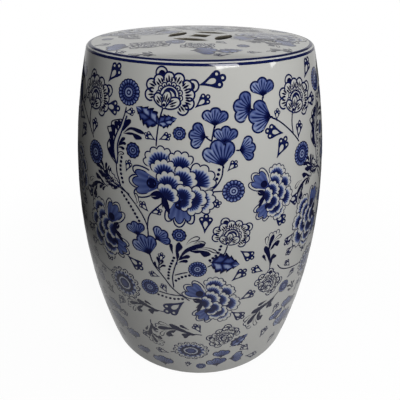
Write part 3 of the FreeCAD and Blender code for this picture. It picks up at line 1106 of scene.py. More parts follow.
for turn, height, length, tilt in [
    (-38.9, 434, 27, 52), (-38.6, 398, 26, 0), (44.6, 370, 21, 78), (-19.4, 374, 15, 155),
    (-13.4, 375, 15, 25), (-28.9, 397, 14, 10), (4.9, 433, 29, 16), (0.9, 413, 20, 40), (30.6, 375, 26, 165),
    (32.2, 393, 14, 80), (34.0, 356, 27, 55), (12.2, 344, 16, 45), (-28.9, 337, 16, 70), (5.4, 301, 17, 10),
    (2.2, 277, 25, 85), (40.8, 287, 25, -15), (33.4, 268, 25, -40), (-16.7, 288, 16, 20),
    (-21.7, 292, 16, 135), (19.0, 229, 24, -40), (40.0, 232, 21, 215), (41.8, 213, 20, 205),
    (-27.2, 210, 27, -35), (-15.2, 227, 15, 80), (16.1, 200, 24, 38), (24.2, 202, 20, 150),
    (-18.6, 199, 15, 165), (20.8, 163, 23, 22), (-14.6, 180, 15, 115), (-10.8, 149, 36, 222),
    (17.2, 131, 25, -42), (41.1, 192, 17, 130), (45, 170, 17, 35), (-26.1, 78, 22, 130), (-19.4, 51, 20, 170),
    (-38.9, 130, 22, 60), (-0.8, 112, 20, 115), (34.4, 73, 22, 70), (24.6, 52, 22, 130), (30.6, 24, 24, -20),
    (-41, 205, 20, 240), (38.5, 116, 19, 60), (-6.2, 27, 15, 80), (-40, 104, 20, 20), (44, 40, 22, 60),
]:
    lay("print_beaded_drops", beaded_drop(length), turn, height, tilt=tilt)
count_strokes(["print_ginkgo", "print_beaded_drops"])

# %% [markdown]
# ## The leaves on the sheet
# The scrolling leaves lead the eye from one flower to the next, so they are laid once the flowers have
# their places. Some are mirrored, which gives two leaves for the drawing of one.

# %% Leaves
for turn, height, length, width, tilt in [
    (-21.2, 396, 31, 21, 150), (-12.6, 392.5, 22, 14, 17), (10.4, 220.5, 36, 28, -12), (20.2, 76, 30, 19, 40),
]:
    lay("print_leaves", serrated_leaf(length, width), turn, height, tilt=tilt)

for leafy, places in [
    (acanthus(), [(-34.8, 336), (-33, 309, 0.5, 78)]),
    (spray(), [(-8.7, 225), (-41, 305, 0.8, 60, True)]),
    (frond(), [(-0.4, 99, 1.0, 0, True), (-16.9, 138, 0.86, 8, True), (36.9, 145, 1.0, 48, True),
               (30.4, 200, 0.86, 84), (-23, 112, 0.8, 100, True)]),
    (jagged_leaf(), [(-32.5, 311, 1.0, 148)]),
    (pod((0, 0), (3, 8), (0, 16), 5.0), [(-25.5, 291)]),
    (pod((0, 0), (7, 3), (15, 1), 4.6), [(-2.5, 250)]),
    (sprig(), [(-16, 207, 0.8, 10), (-38, 318, 1.1, 75), (-43, 135, 0.9, 60)]),
]:
    scatter("print_acanthus", leafy, places)
count_strokes(["print_leaves", "print_acanthus"])

# %% [markdown]
# ## The vines on the sheet
# A vine must reach its flower, so its stops are given on the barrel, as turn and height, and not in its
# own millimetres. They are turned into millimetres at the first stop, which is where the vine is laid.

# %% Vines
for stops in [
    [(-32.2, 310), (-34.2, 325), (-34.8, 338)], [(-33.4, 377), (-31.5, 392), (-30.6, 402)],
    [(-45, 320), (-40, 317), (-32.2, 310), (-25, 291), (-20.8, 270), (-20.2, 250)],
    [(-20, 229), (-18.5, 215), (-15, 200), (-10.5, 180), (-4, 163)],
    [(-14.4, 406), (-15.8, 392), (-16.6, 375), (-16.8, 364)],
    [(-13, 303), (-17.5, 290), (-19.8, 280), (-20.6, 263)], [(3, 315), (6, 316), (9.3, 316)],
    [(4.4, 372), (4.9, 380), (5.5, 388)], [(2.2, 376.5), (4.4, 372)], [(4.4, 372), (4.6, 368)],
    [(8.7, 345), (8.2, 333), (6, 322), (3, 315)], [(13.6, 361), (15.2, 361)],
    [(29, 392), (33, 386), (38, 375), (42, 364), (44.4, 356)], [(41, 394), (40.3, 380), (40.8, 366)],
    [(49, 325), (52, 318), (58, 312), (66, 303)], [(34.5, 199), (37, 190), (41, 184), (47, 179), (53, 176)],
    [(-10.5, 183), (-10.8, 200), (-9.6, 217), (-8.8, 224)], [(-10, 203), (-7, 207), (-4.6, 209)],
    [(10.8, 246), (9.4, 234), (6, 223), (3, 217)], [(-17.2, 173.5), (-12, 171), (-7, 171)],
    [(25.5, 414), (25.5, 409)], [(20, 66), (23, 60), (26, 46)], [(-12.5, 56), (-15, 53)],
]:
    lay_line("print_vines", vine, stops)
for stops in [
    [(-32, 345), (-32.5, 331), (-31.3, 316)], [(-31.8, 303), (-27.8, 289), (-24, 272)],
    [(-12.6, 197), (-12.0, 212), (-10, 229)], [(-9.5, 195), (-7, 201), (-4, 204.5)],
    [(-17.4, 167.5), (-12, 164.5), (-7, 165.5)], [(8.2, 246), (7, 236), (4, 227)],
    [(7.2, 341), (6.4, 331), (4.3, 322)],
]:
    lay_line("print_vines", beads, stops)
count_strokes(["print_vines"])

# %% [markdown]
# ## Wrapping the print on the barrel
# A flat transfer hugs the barrel with hardly a stretch, because the arc is so shallow. So millimetres
# up the sheet become millimetres along the arc, and millimetres across become an angle about the axis
# at that height. Shrinkwrap would need a denser mesh and would round the points; the formula puts
# every point at its exact place. Each layer stands a fiftieth of a millimetre over the last, as thin
# as real ink, so that no two sheets fight for the same surface.

# %% Wrap and build
INK_STAND = 0.00008         # how far the lowest ink stands off the clay
INK_PITCH = 0.00002         # and how much further each layer does
LOWEST_INK, HIGHEST_INK = arc_angle(BASE_HEIGHT + 0.003), arc_angle(LIP_SIDE_HEIGHT)


def wrap(points, layer, turn, height):
    """Places and normals on the barrel: angle = angle of the height + v / arc radius, spin = turn + u /
    radius. The sheet is trimmed at the lip and above the foot: what would pass them is drawn in to them."""
    angle = arc_angle(height / 1000) + points[:, 1] / 1000 / ARC_RADIUS
    angle = np.clip(angle, LOWEST_INK, HIGHEST_INK)
    spin = math.radians(turn) + points[:, 0] / 1000 / arc_point(angle)[0]
    radius, z = arc_point(angle, INK_STAND + layer * INK_PITCH)
    normal = np.column_stack([np.cos(angle) * np.sin(spin), -np.cos(angle) * np.cos(spin), np.sin(angle)])
    return np.column_stack([radius * np.sin(spin), -radius * np.cos(spin), z]), normal


TONE_LOW, TONE_HIGH = 0.05, 0.95    # where the tones 0 and 1 lie along u on the ink's UV map
GOLDEN = 0.618034                   # its multiples, less their whole parts, never fall close together
SMALLEST_FACE = 2e-11               # m2, the size of a triangle that is left out, counted twice over


def ink_piece(name, places, normals, triangles, tones):
    """One mesh of ink. Its UV map holds the tone along u; small steps in u and v keep every triangle's
    corners apart on that map, so that its colour can be baked."""
    sizes = np.cumsum([0] + [len(p) for p in places])
    faces = np.vstack([t + first for t, first in zip(triangles, sizes)])
    points, normals, tone = np.vstack(places), np.vstack(normals), np.concatenate(tones)
    a, b, c = (points[faces[:, k]] for k in range(3))
    faces = faces[np.linalg.norm(np.cross(b - a, c - a), axis=1) > SMALLEST_FACE]
    used, faces = np.unique(faces, return_inverse=True)
    points, normals, tone, faces = points[used], normals[used], tone[used], faces.reshape(-1, 3)
    piece = make_mesh(name, points, faces, normals)
    index = np.arange(len(points))
    u = TONE_LOW + (TONE_HIGH - TONE_LOW) * tone + 0.005 * (index % 3 - 1)
    v = 0.02 + 0.96 * np.mod(index * GOLDEN, 1)
    corner = np.zeros(len(piece.data.loops), np.int32)
    piece.data.loops.foreach_get("vertex_index", corner)
    layer = piece.data.uv_layers.new(name="OFBake")
    layer.data.foreach_set("uv", np.column_stack([u, v])[corner].astype(np.float32).ravel())
    print(f"{name}: {len(faces)} triangles")
    return piece


SHEET_STEP = 94             # degrees from one transfer to the next
WHOLE = 180                 # a sheet that isn't trimmed keeps all within this many degrees each side
BACK_SHARE = 37             # and the fourth, at the back, is trimmed to this many
copies = [(0, WHOLE), (SHEET_STEP, WHOLE), (-SHEET_STEP, WHOLE), (180, BACK_SHARE)]
ink = []
for kind, strokes in sheet.items():
    wrapped, triangles, tones = [], [], []
    for shift, reach in copies:
        for points, faces, tone, layer, turn, height in strokes:
            if abs(turn) <= reach:
                wrapped.append(wrap(points, layer, turn + shift, height))
                triangles.append(faces)
                tones.append(tone)
    ink.append(ink_piece(kind, *zip(*wrapped), triangles, tones))

# %% [markdown]
# ## The print on the seat
# The seat carries the same stock of motifs, laid round the coin. They are set out in flat millimetres
# from the middle of the seat, +x to the right and +y to the back, and lifted on to the dome's sphere.

# %% Seat print
COIN_CLEAR = COIN_RADIUS + EDGE_ROUND + 0.0008      # the radius round the coin that stays bare


def wrap_seat(points, layer, x, y):
    """Places and normals on the dome: (x, y) is kept and the height is the sphere's, plus the ink's. The
    sheet is trimmed round the coin and at the lip: what would pass them is drawn in to them."""
    flat = (points + (x, y)) / 1000
    radius = np.maximum(np.hypot(*flat.T), 1e-6)
    flat = flat * (np.clip(radius, COIN_CLEAR, LIP_TOP_RADIUS) / radius)[:, None]
    height = dome_height(np.hypot(*flat.T))
    normal = np.column_stack([flat, height - DOME_CENTRE]) / DOME_RADIUS
    return np.column_stack([flat, height]) + normal * (INK_STAND + layer * INK_PITCH), normal


seat_sheet = []
for strokes, x, y, *size_tilt_mirror in [
    (peony(), 82, -8, 0.95, 20), (peony(), -66, 52, 0.95, 150), (peony(), 14, 92, 0.8, 60, True),
    (blossom(), -62, -64, 0.9, 35), (blossom(), 66, 66, 0.9, 130), (blossom(), -4, -72, 0.72, 10),
    (rosette(12.5, 18), -30, -48), (rosette(11, 16), 40, 52), (button(8), -118, -12), (button(8), 50, -70),
    (daisy(21, 14, 1.0), -104, 30), (button(7), 84, 34), (spray(), -50, -117, 0.66, 42, True),
    (spray(), 104, -92, 0.62, 25, True), (spray(), -34, 74, 1.0, -20), (spray(), 60, -40, 0.9, -60),
    (acanthus(), -76, -20, 0.8, 40), (acanthus(), 44, 118, 0.7, -120, True),
    (beaded_drop(20), 24, -117, 1, 195), (beaded_drop(17), 60, -102, 1, 185),
    (beaded_drop(22), -118, -52, 1, 30), (beaded_drop(20), -90, -96, 1, 300),
    (beaded_drop(20), 122, 24, 1, 80), (beaded_drop(20), -20, 124, 1, 250),
    (beaded_drop(18), 26, -52, 1, 130), (beaded_drop(18), -54, 14, 1, 160), (ginkgo(25, 60), -84, -74, 1, 80),
    (ginkgo(27, 60), -8, -98, 1, -85), (ginkgo(22, 60), 92, -52, 1, -60), (ginkgo(22, 62), -6, 58, 1, 10),
    (ginkgo(20, 62), 104, 62, 1, -50), (ginkgo(20, 60), -98, 84, 1, 40),
    (serrated_leaf(30, 20), 34, -98, 1, 20), (serrated_leaf(26, 17), -34, 104, 1, 150),
    (serrated_leaf(24, 16), 112, -22, 1, 100), (serrated_leaf(24, 16), -128, 30, 1, 80),
]:
    for points, faces, tone, layer in moved(strokes, *size_tilt_mirror):
        seat_sheet.append((*wrap_seat(points, layer, x, y), faces, tone))
ink.append(ink_piece("print_seat", *zip(*seat_sheet)))

# %% [markdown]
# ## Rim lines
# Two thin cobalt lines are banded round the lip with the stool on a turntable, so they are turned
# from the lip's own arc rather than drawn on the sheet.

# %% Rim lines
BAND_ROWS = 5               # points across a rim line


def lip_band(height, width):
    """A strip of the lip's arc, centred on a height, lifted by the ink's thickness."""
    middle = math.asin((height - LIP_CENTRE[1]) / LIP_RADIUS)
    angle = np.linspace(middle - width / 2 / LIP_RADIUS, middle + width / 2 / LIP_RADIUS, BAND_ROWS)
    points = ring_points(lip_arc(angle, INK_STAND))
    spin = np.arctan2(points[:, 1], points[:, 0])
    steep = np.repeat(angle, SEGMENTS)
    normals = np.column_stack([np.cos(steep) * np.cos(spin), np.cos(steep) * np.sin(spin), np.sin(steep)])
    triangles = split_quads(grid_faces(BAND_ROWS, SEGMENTS, wrap_columns=True))
    return points, normals, triangles, np.full(len(points), PEN)


UPPER_LINE = (RIM_HEIGHT - 0.00001, 0.0044)     # height of the line's middle on the lip, and its width
LOWER_LINE = (RIM_HEIGHT - 0.0035, 0.0031)
rim_lines = [lip_band(*UPPER_LINE), lip_band(*LOWER_LINE)]
ink.append(ink_piece("print_rim_lines", *zip(*rim_lines)))

# %% [markdown]
# ## Finishes
# Five finishes cover the stool: clear glaze, bare clay where no glaze reaches, the coin's cut edges,
# whose bare clay is darkened by painted shade, the cobalt print and the felt. Each is built of nodes. Its
# colours are sRGB hex values, which one function turns into the linear light that Blender adds up. Its
# patterns read Object coordinates, which are metres from the stool's foot, so a pattern's scale is a
# metre over the size of one blotch.
# One small function adds any node with its sockets and settings, and each finish reads as a short list.

# %% Colour and node helpers
MIX_A, MIX_B, MIX_OUT = 6, 7, 2     # the colour sockets of a Mix node, which come after its number ones


def colour(hex_code):
    """An sRGB hex value as linear RGBA, by the sRGB curve."""
    channel = np.array([int(hex_code[i:i + 2], 16) for i in (1, 3, 5)]) / 255
    linear = np.where(channel <= 0.04045, channel / 12.92, ((channel + 0.055) / 1.055) ** 2.4)
    return (*linear.tolist(), 1.0)


def per_metre(size):
    """A texture's scale for blotches of a size in mm: how many of them fit into a metre."""
    return 1000 / size


def add_node(tree, kind, sockets=(), **settings):
    """Adds a node with its settings. Sockets pairs each input with a value, with another node's output,
    or with another node, which then stands for its first output."""
    node = tree.nodes.new(kind)
    for name, value in settings.items():
        setattr(node, name, value)
    for socket, source in dict(sockets).items():
        if isinstance(source, bpy.types.Node):
            source = source.outputs[0]
        if isinstance(source, bpy.types.NodeSocket):
            tree.links.new(source, node.inputs[socket])
        else:
            node.inputs[socket].default_value = source
    return node


def new_material(name):
    """A node material without nodes, and its node tree."""
    material = bpy.data.materials.new(name)
    material.use_nodes = True
    material.node_tree.nodes.clear()
    return material, material.node_tree


def put_on(pieces, material):
    """Makes a material the only one of some pieces."""
    for piece in pieces:
        piece.data.materials.clear()
        piece.data.materials.append(material)
    print(f"{material.name}: {len(material.node_tree.nodes)} nodes, on {len(pieces)} pieces")


for hex_code in ("#000000", "#808080", "#FFFFFF"):
    print(hex_code, "is", round(colour(hex_code)[0], 3), "in linear light")

# %% [markdown]
# ## Clear glaze on white stoneware
# What looks white is a sprayed coat of clear glass, a third of a millimetre thick, melted over pale clay
# at about 1200 degrees. The clay gives the colour and the glass the shine. A single grey would do from
# afar, but a glaze pools and thins as it melts, so here grey and gloss drift together in clouds of 90 mm.
# Iron in the clay burns through as a few brown specks of 0.5 mm. The sprayed drops leave a faint orange
# peel of 6 mm, which makes the edge of a lamp's reflection waver. The glass has the usual IOR of 1.5 and
# a roughness of 0.02 to 0.06, so to the eye it is a nearly perfect mirror over a soft grey ground.

# %% Clear glaze
GLAZE_COLOUR = "#B4B4B0"    # between the two greys below; a white that is seen under plain studio lamps
glaze, tree = new_material("clear_glaze_on_white_stoneware")
place = add_node(tree, "ShaderNodeTexCoord").outputs["Object"]
pool = add_node(tree, "ShaderNodeTexNoise", {"Vector": place, "Scale": per_metre(90), "Detail": 3.0})
body = add_node(tree, "ShaderNodeMix", {0: pool.outputs["Fac"], MIX_A: colour("#AFB0AD"),
                                        MIX_B: colour("#B9B8B4")}, data_type="RGBA")

# One cell in fourteen, each about 11 mm wide, has a speck: a disc of 0.03 to 0.06 cells in radius.
cell = add_node(tree, "ShaderNodeTexVoronoi", {"Vector": place, "Scale": per_metre(11)})
off_speck = add_node(tree, "ShaderNodeMapRange", {
    "Value": cell.outputs["Distance"], "From Min": 0.03, "From Max": 0.06})
chance = add_node(tree, "ShaderNodeSeparateColor", {0: cell.outputs["Color"]})
no_speck = add_node(tree, "ShaderNodeMath", {0: chance, 1: 0.93}, operation="LESS_THAN")
clean = add_node(tree, "ShaderNodeMath", {0: off_speck, 1: no_speck}, operation="MAXIMUM")
paint = add_node(tree, "ShaderNodeMix", {0: clean, MIX_A: colour("#857D70"),
                                         MIX_B: body.outputs[MIX_OUT]}, data_type="RGBA")

gloss = add_node(tree, "ShaderNodeMapRange", {"Value": pool.outputs["Fac"], "To Min": 0.02, "To Max": 0.06})
peel = add_node(tree, "ShaderNodeTexNoise", {"Vector": place, "Scale": per_metre(6), "Detail": 2.0})
bump = add_node(tree, "ShaderNodeBump", {"Height": peel.outputs["Fac"], "Strength": 0.06, "Distance": 0.0003})
shader = add_node(tree, "ShaderNodeBsdfPrincipled", {
    "Base Color": paint.outputs[MIX_OUT], "Roughness": gloss, "Normal": bump, "IOR": 1.5})
add_node(tree, "ShaderNodeOutputMaterial", {"Surface": shader})
put_on([barrel_wall, foot_ring, seat], glaze)

# %% [markdown]
# ## Bare stoneware
# The glaze is sprayed on from outside, and the foot is wiped so that it can't melt onto the kiln shelf.
# The inside and the foot's underside therefore stay fired clay: matt, buff and gritty. Its grog, which is
# crushed fired clay of 0.3 to 0.5 mm, is too fine to show, so the grit is drawn at 2.4 mm, and the slip
# that was smeared on by hand at 40 mm. One mesh can carry two finishes, so a test of each face's middle
# and direction picks the faces that are bare, and the glaze ends just where the clay's edge is.

# %% Bare stoneware
biscuit, tree = new_material("bare_stoneware")
place = add_node(tree, "ShaderNodeTexCoord").outputs["Object"]
grog = add_node(tree, "ShaderNodeTexNoise", {
    "Vector": place, "Scale": per_metre(2.4), "Detail": 6.0, "Roughness": 0.65})
smear = add_node(tree, "ShaderNodeTexNoise", {"Vector": place, "Scale": per_metre(40), "Detail": 4.0})
clay = add_node(tree, "ShaderNodeMix", {0: smear.outputs["Fac"], MIX_A: colour("#8C8172"),
                                        MIX_B: colour("#A79C8C")}, data_type="RGBA")
grit = add_node(tree, "ShaderNodeMix", {0: 0.45, MIX_A: clay.outputs[MIX_OUT], MIX_B: grog.outputs["Fac"]},
                data_type="RGBA", blend_type="MULTIPLY")
bump = add_node(tree, "ShaderNodeBump", {"Height": grog.outputs["Fac"], "Strength": 0.5, "Distance": 0.0003})
shader = add_node(tree, "ShaderNodeBsdfPrincipled", {
    "Base Color": grit.outputs[MIX_OUT], "Normal": bump, "Roughness": 0.78, "IOR": 1.5})
add_node(tree, "ShaderNodeOutputMaterial", {"Surface": shader})


def second_finish(piece, finish, test):
    """Gives a piece's next finish to the faces that a test of their middles and normals picks."""
    piece.data.materials.append(finish)
    mesh = piece.data
    count = len(mesh.polygons)
    middle, normal = np.zeros(count * 3), np.zeros(count * 3)
    slots = np.zeros(count, np.int32)
    mesh.polygons.foreach_get("center", middle)
    mesh.polygons.foreach_get("normal", normal)
    mesh.polygons.foreach_get("material_index", slots)
    picked = test(middle.reshape(-1, 3), normal.reshape(-1, 3))
    slots[picked] = len(mesh.materials) - 1
    mesh.polygons.foreach_set("material_index", slots)
    print(f"{piece.name}: {picked.sum()} of {count} faces are {finish.name}")


def faces_in(middle, normal):
    """Which faces look at the stool's axis: x and y of the middle times those of the normal fall below 0."""
    return (middle[:, :2] * normal[:, :2]).sum(axis=1) < 0


LOOKS_DOWN = -0.7           # a face's normal points to the floor where its z is below this
second_finish(barrel_wall, biscuit, faces_in)
second_finish(foot_ring, biscuit, lambda m, n: faces_in(m, n) | (n[:, 2] < LOOKS_DOWN))
second_finish(seat, biscuit, lambda m, n: m[:, 2] < SEAT_UNDERSIDE + 1e-5)

# %% [markdown]
# ## Cut edges with painted shade
# The potter cuts the coin's windows with a wire knife while the clay is damp. Glaze runs off such steep
# faces, so they stay open clay of a grey-brown. Below their top 3 mm they are painted nearly black: that
# is painted shade, which stands for the shadow deep in the windows and makes the coin readable from
# across a room. The painted shade fades out over the top 3 mm, and its border is ragged by grains of
# 4 mm. It lies on every cut face, the ribs' own sides too.

# %% Cut edges with painted shade
SHADE_FADE = (0.4530, 0.4560)           # heights between which the painted shade gives way to the clay's own grey-brown
CUT_REACH = COIN_RADIUS + 0.0035        # all cut faces lie inside this radius
STEEP = 0.45                            # and are so steep that their normals rise by less than this
# This finish paints shade into the coin's cut faces, nearly black below their top 3 mm.
cut, tree = new_material("cut_clay_edge_with_painted_shade")
place = add_node(tree, "ShaderNodeTexCoord").outputs["Object"]
axes = add_node(tree, "ShaderNodeSeparateXYZ", {0: place})
rough = add_node(tree, "ShaderNodeTexNoise", {"Vector": place, "Scale": per_metre(4), "Detail": 5.0})
upper = add_node(tree, "ShaderNodeMapRange", {
    "Value": axes.outputs["Z"], "From Min": SHADE_FADE[0], "From Max": SHADE_FADE[1]})
ragged = add_node(tree, "ShaderNodeMath", {0: upper, 1: rough.outputs["Fac"]}, operation="MULTIPLY")
# Painted shade: #16140F, nearly black, stands for the shadow deep in the windows; #8D8576 is the bare clay's
# own grey-brown.
painted_shade = add_node(tree, "ShaderNodeMix", {0: ragged, MIX_A: colour("#16140F"),
                                         MIX_B: colour("#8D8576")}, data_type="RGBA")
shader = add_node(tree, "ShaderNodeBsdfPrincipled", {
    "Base Color": painted_shade.outputs[MIX_OUT], "Roughness": 0.8, "IOR": 1.5})
add_node(tree, "ShaderNodeOutputMaterial", {"Surface": shader})
second_finish(seat, cut, lambda m, n: (np.hypot(m[:, 0], m[:, 1]) < CUT_REACH) & (np.abs(n[:, 2]) < STEEP)
              & (m[:, 2] > SEAT_UNDERSIDE))

# %% [markdown]
# ## Cobalt print
# Cobalt oxide in the printing ink melts into the glaze. Where it lies thick it fires nearly black, and
# where it is thin it lets the white through, so one ink gives the whole scale from navy to pale blue. A
# colour ramp says exactly that: five blues, from 0 for the thickest ink to 1 for none. Its input is the
# tone that each stroke carries in its UV map, and the hairs and rings are drawn there, 1 to 2 mm wide,
# at the real brush's width. The same clear glass lies over the ink, with its IOR of 1.5 and roughness
# 0.04. To the eye the print therefore shines just as the white does.

# %% Cobalt print
TONES = ((0.0, "#060A31"), (0.25, "#1D285C"), (0.5, "#4C5A8A"), (0.75, "#8B95B0"), (1.0, GLAZE_COLOUR))
cobalt, tree = new_material("cobalt_transfer_print_under_clear_glaze")
tone_map = add_node(tree, "ShaderNodeUVMap", uv_map="OFBake")
split = add_node(tree, "ShaderNodeSeparateXYZ", {0: tone_map})
tone = add_node(tree, "ShaderNodeMapRange", {
    "Value": split, "From Min": TONE_LOW, "From Max": TONE_HIGH})
ramp = add_node(tree, "ShaderNodeValToRGB", {0: tone})
for place, _ in TONES[2:]:
    ramp.color_ramp.elements.new(place)
for element, (place, hex_code) in zip(ramp.color_ramp.elements, TONES):
    element.position = place
    element.color = colour(hex_code)
shader = add_node(tree, "ShaderNodeBsdfPrincipled", {"Base Color": ramp, "Roughness": 0.04, "IOR": 1.5})
add_node(tree, "ShaderNodeOutputMaterial", {"Surface": shader})
put_on(ink, cobalt)

# %% [markdown]
# ## Felt
# The pads are pressed wool felt: fibres of 0.02 mm, matted together without a weave. Such fibres are far
# too fine to draw, so tufts of 1.1 mm stand for them, in a dark and a lighter grey-brown. Felt has no
# gloss, hence the roughness of 0.95. Its stray hairs catch light at the edge, which is what sheen adds.

# %% Felt
felt, tree = new_material("pressed_wool_felt")
place = add_node(tree, "ShaderNodeTexCoord").outputs["Object"]
tuft = add_node(tree, "ShaderNodeTexNoise", {
    "Vector": place, "Scale": per_metre(1.1), "Detail": 4.0, "Distortion": 1.5})
wool = add_node(tree, "ShaderNodeMix", {0: tuft.outputs["Fac"], MIX_A: colour("#38352F"),
                                        MIX_B: colour("#5E5A52")}, data_type="RGBA")
bump = add_node(tree, "ShaderNodeBump", {"Height": tuft.outputs["Fac"], "Strength": 0.8, "Distance": 0.0002})
shader = add_node(tree, "ShaderNodeBsdfPrincipled", {
    "Base Color": wool.outputs[MIX_OUT], "Normal": bump, "Roughness": 0.95, "Sheen Weight": 0.4})
add_node(tree, "ShaderNodeOutputMaterial", {"Surface": shader})
put_on(pads, felt)

# %% [markdown]
# ## Which solid each piece stands for
# The stool has no joint, so every piece rides on the one body, root. The wall, seat, foot and pads each
# take the place of the solid of the same shape, which stays in the physics model. The print is a coat of
# its own on the same glazed clay, so it replaces nothing.

# %% Pieces and nodes
stands_for = [(barrel_wall, "barrel_wall", "glazed_stoneware"), (seat, "seat_plate", "glazed_stoneware"),
              (foot_ring, "foot_ring", "glazed_stoneware")]
stands_for += [(pad, f"floor_pad_{number}", "felt") for number, pad in enumerate(pads, start=1)]
stands_for += [(piece, None, "glazed_stoneware") for piece in ink]
for piece, node, slot in stands_for:
    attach(piece, "root")
    if node:
        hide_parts(node)
print(f"{len(stands_for)} pieces, {len(ink)} of them print")

# %% [markdown]
# ## Camera
# The picture is taken from 0.62 m in front of the stool's axis and 0.54 m above the floor, close up and
# looking down. The seat's ellipse and the way the wall narrows towards the foot give that place. A lens
# is easiest to set from the width of the view: it is the sensor's width times the view's focal length in
# pixels over its width in pixels. A small shift puts the stool where it stands in the frame.

# %% Camera
VIEW_WIDTH = 400            # pixels
FOCAL_LENGTH = 454.6        # pixels
SHIFT = 0.26                # pixels
SENSOR = 36                 # mm
CAMERA_PLACE = (0, -0.6207, 0.5433)
CAMERA_TILT = 62.17         # degrees up from straight down
CAMERA_ROLL = 0.17          # degrees
camera_data = bpy.data.cameras.new("camera")
camera_data.sensor_width = SENSOR
camera_data.lens = SENSOR * FOCAL_LENGTH / VIEW_WIDTH
camera_data.shift_x = SHIFT / VIEW_WIDTH
camera = bpy.data.objects.new("camera", camera_data)
scene.collection.objects.link(camera)
camera.matrix_world = (Matrix.Translation(CAMERA_PLACE) @ Matrix.Rotation(math.radians(CAMERA_TILT), 4, "X")
                       @ Matrix.Rotation(math.radians(CAMERA_ROLL), 4, "Z"))
scene.camera = camera
print(f"lens {camera_data.lens:.1f} mm")

# %% [markdown]
# ## Floor
# The stool stands on white paper. A lit white floor would throw so much light back that the belly's
# shaded underside vanished. So the paper is white only to the camera, by Light Path's Is Camera Ray, and
# a dark table to the light that bounces: that keeps the lower wall dim. The glaze mirrors the floor, so
# glossy rays see some of the white too, close to the foot. Five hundredths of the real shading are left
# in, which keeps a soft shadow under the stool, and they fade out so that the paper has no border.

# %% Floor
FLOOR_SIZE = 6.0
SHADOW_SHARE = 0.05         # how much of the real shading the paper shows near the stool
SHADOW_FADE = (0.30, 0.75)  # m from the stool's axis, where that share starts and ends its fall
FLOOR_GLOSS = 0.48          # how white the glaze sees the paper at the stool's foot
GLOSS_FADE = (0.24, 0.50)   # m from the axis, where that starts and ends its fall


def whiteness(tree, path, mirrored_share):
    """How white a ray finds a surface: 1 for a camera or transmission ray, a share for a glossy one."""
    mirrored = add_node(tree, "ShaderNodeMath", {0: path["Is Glossy Ray"], 1: mirrored_share},
                        operation="MULTIPLY")
    straight = add_node(tree, "ShaderNodeMath", {0: path["Is Camera Ray"], 1: path["Is Transmission Ray"]},
                        operation="MAXIMUM")
    return add_node(tree, "ShaderNodeMath", {0: straight, 1: mirrored}, operation="MAXIMUM")


corners = np.array([[-1, -1, 0], [1, -1, 0], [1, 1, 0], [-1, 1, 0]], float) * FLOOR_SIZE / 2
floor = make_mesh("floor", corners, np.array([[0, 1, 2, 3]]))
paper, tree = new_material("white_paper_on_a_grey_table")
place = add_node(tree, "ShaderNodeTexCoord").outputs["Object"]
away = add_node(tree, "ShaderNodeVectorMath", {0: place}, operation="LENGTH").outputs["Value"]
path = add_node(tree, "ShaderNodeLightPath").outputs
outer = add_node(tree, "ShaderNodeMapRange", {
    "Value": away, "From Min": SHADOW_FADE[0], "From Max": SHADOW_FADE[1]}, interpolation_type="SMOOTHSTEP")
flat_white = add_node(tree, "ShaderNodeMapRange", {"Value": outer, "To Min": 1 - SHADOW_SHARE, "To Max": 1.0})
near = add_node(tree, "ShaderNodeMapRange", {
    "Value": away, "From Min": GLOSS_FADE[0], "From Max": GLOSS_FADE[1],
    "To Min": FLOOR_GLOSS, "To Max": 0.0}, interpolation_type="SMOOTHSTEP")
seen = add_node(tree, "ShaderNodeMath", {0: whiteness(tree, path, near), 1: flat_white}, operation="MULTIPLY")
tint = add_node(tree, "ShaderNodeMix", {0: path["Is Camera Ray"], MIX_A: colour("#4C4C4C"),
                                        MIX_B: colour("#FFFFFF")}, data_type="RGBA")
shaded = add_node(tree, "ShaderNodeBsdfDiffuse", {0: tint.outputs[MIX_OUT]})
white = add_node(tree, "ShaderNodeEmission", {"Color": (1, 1, 1, 1), "Strength": 1.0})
mix = add_node(tree, "ShaderNodeMixShader", {0: seen, 1: shaded, 2: white})
add_node(tree, "ShaderNodeOutputMaterial", {"Surface": mix})
put_on([floor], paper)

# %% [markdown]
# ## World
# Behind the stool hangs a white screen, and the rest of the room is dark. The camera sees white all
# round, at a strength of 1, which the Standard view shows as pure white. The glaze mirrors the screen
# only: that lays the pale veil over the seat and the bright edges on both sides, while the front of the
# rim, which mirrors higher up, stays clear. Diffuse rays get almost nothing, so that the lamps alone
# model the form.

# %% World
SCREEN_LIGHT = 0.58         # how bright the glaze sees the white screen behind the stool
SCREEN_SIDE = (0.50, 0.95)  # share of the way back where the screen's light starts and ends its rise
SCREEN_TOP = (0.26, 0.30)   # sine of the elevation where it starts and ends its fall
ABOVE_SCREEN = 0.12         # the share that is left above it
ROOM_LIGHT = 0.02           # what diffuse rays get
world = bpy.data.worlds.new("studio")
scene.world = world
world.use_nodes = True
tree = world.node_tree
tree.nodes.clear()
path = add_node(tree, "ShaderNodeLightPath").outputs
where = add_node(tree, "ShaderNodeTexCoord").outputs["Generated"]
axes = add_node(tree, "ShaderNodeSeparateXYZ", {0: where}).outputs
behind = add_node(tree, "ShaderNodeMapRange", {
    "Value": axes["Y"], "From Min": SCREEN_SIDE[0], "From Max": SCREEN_SIDE[1],
    "To Max": SCREEN_LIGHT}, interpolation_type="SMOOTHSTEP")
low_down = add_node(tree, "ShaderNodeMapRange", {
    "Value": axes["Z"], "From Min": SCREEN_TOP[0], "From Max": SCREEN_TOP[1],
    "To Min": 1.0, "To Max": ABOVE_SCREEN}, interpolation_type="SMOOTHSTEP")
screen = add_node(tree, "ShaderNodeMath", {0: behind, 1: low_down}, operation="MULTIPLY")
strength = add_node(tree, "ShaderNodeMapRange", {
    "Value": whiteness(tree, path, screen), "To Min": ROOM_LIGHT, "To Max": 1.0})
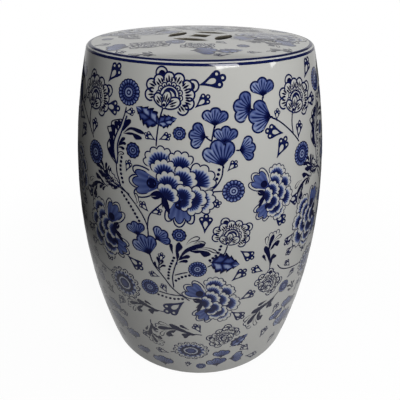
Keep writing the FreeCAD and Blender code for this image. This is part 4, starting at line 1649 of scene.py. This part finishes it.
back = add_node(tree, "ShaderNodeBackground", {"Color": (1, 1, 1, 1), "Strength": strength})
add_node(tree, "ShaderNodeOutputWorld", {"Surface": back})
print(f"world: {len(tree.nodes)} nodes")

# %% [markdown]
# ## Lamps
# The stool is lit from the front right. The key is a soft box whose mirror image is the white bar on the
# rim, and a small one far to the right makes the thin glint beside it. The other lamps are hidden from
# glossy rays, so they model the form and leave no image in the glaze: one above for the seat, one low
# for the belly, and two behind so that the back isn't black from other sides. A sun would be simpler,
# but it has no shape to mirror.

# %% Lamps
AIM = Vector((0, 0, 0.25))


def soft_lamp(name, turn, rise, distance, width, height, power, glossy=True):
    """A rectangular lamp, aimed at the stool from a turn to the right of the front and a rise, both in
    degrees: it stands at aim + distance * (sin turn cos rise, -cos turn cos rise, sin rise)."""
    a, e = math.radians(turn), math.radians(rise)
    away = Vector((math.sin(a) * math.cos(e), -math.cos(a) * math.cos(e), math.sin(e)))
    data = bpy.data.lights.new(name, "AREA")
    data.shape = "RECTANGLE"
    data.size = width
    data.size_y = height
    data.energy = power
    lamp = bpy.data.objects.new(name, data)
    scene.collection.objects.link(lamp)
    lamp.location = AIM + away * distance
    lamp.rotation_euler = away.to_track_quat("Z", "Y").to_euler()
    lamp.visible_glossy = glossy
    print(f"{name}: {power} W at {distance} m")


soft_lamp("key", 25.2, 38, 1.70, 0.60, 0.90, 20)
soft_lamp("side_glint", 70, 20.8, 1.6, 0.16, 0.16, 0.6)
soft_lamp("overhead", 25, 85, 1.9, 0.9, 0.9, 11, glossy=False)
soft_lamp("fill", 25, -6, 1.5, 0.7, 0.15, 4.2, glossy=False)
soft_lamp("back_right", 155, 6, 2.0, 0.7, 0.7, 8, glossy=False)
soft_lamp("back_left", 205, 6, 2.0, 0.7, 0.7, 9, glossy=False)

# %% [markdown]
# ## View transform
# The Standard view shows each colour as it is written, where a filmic one would grey the whites. The
# print and the glaze may not make it any bigger.

# %% View transform
scene.view_settings.view_transform = "Standard"
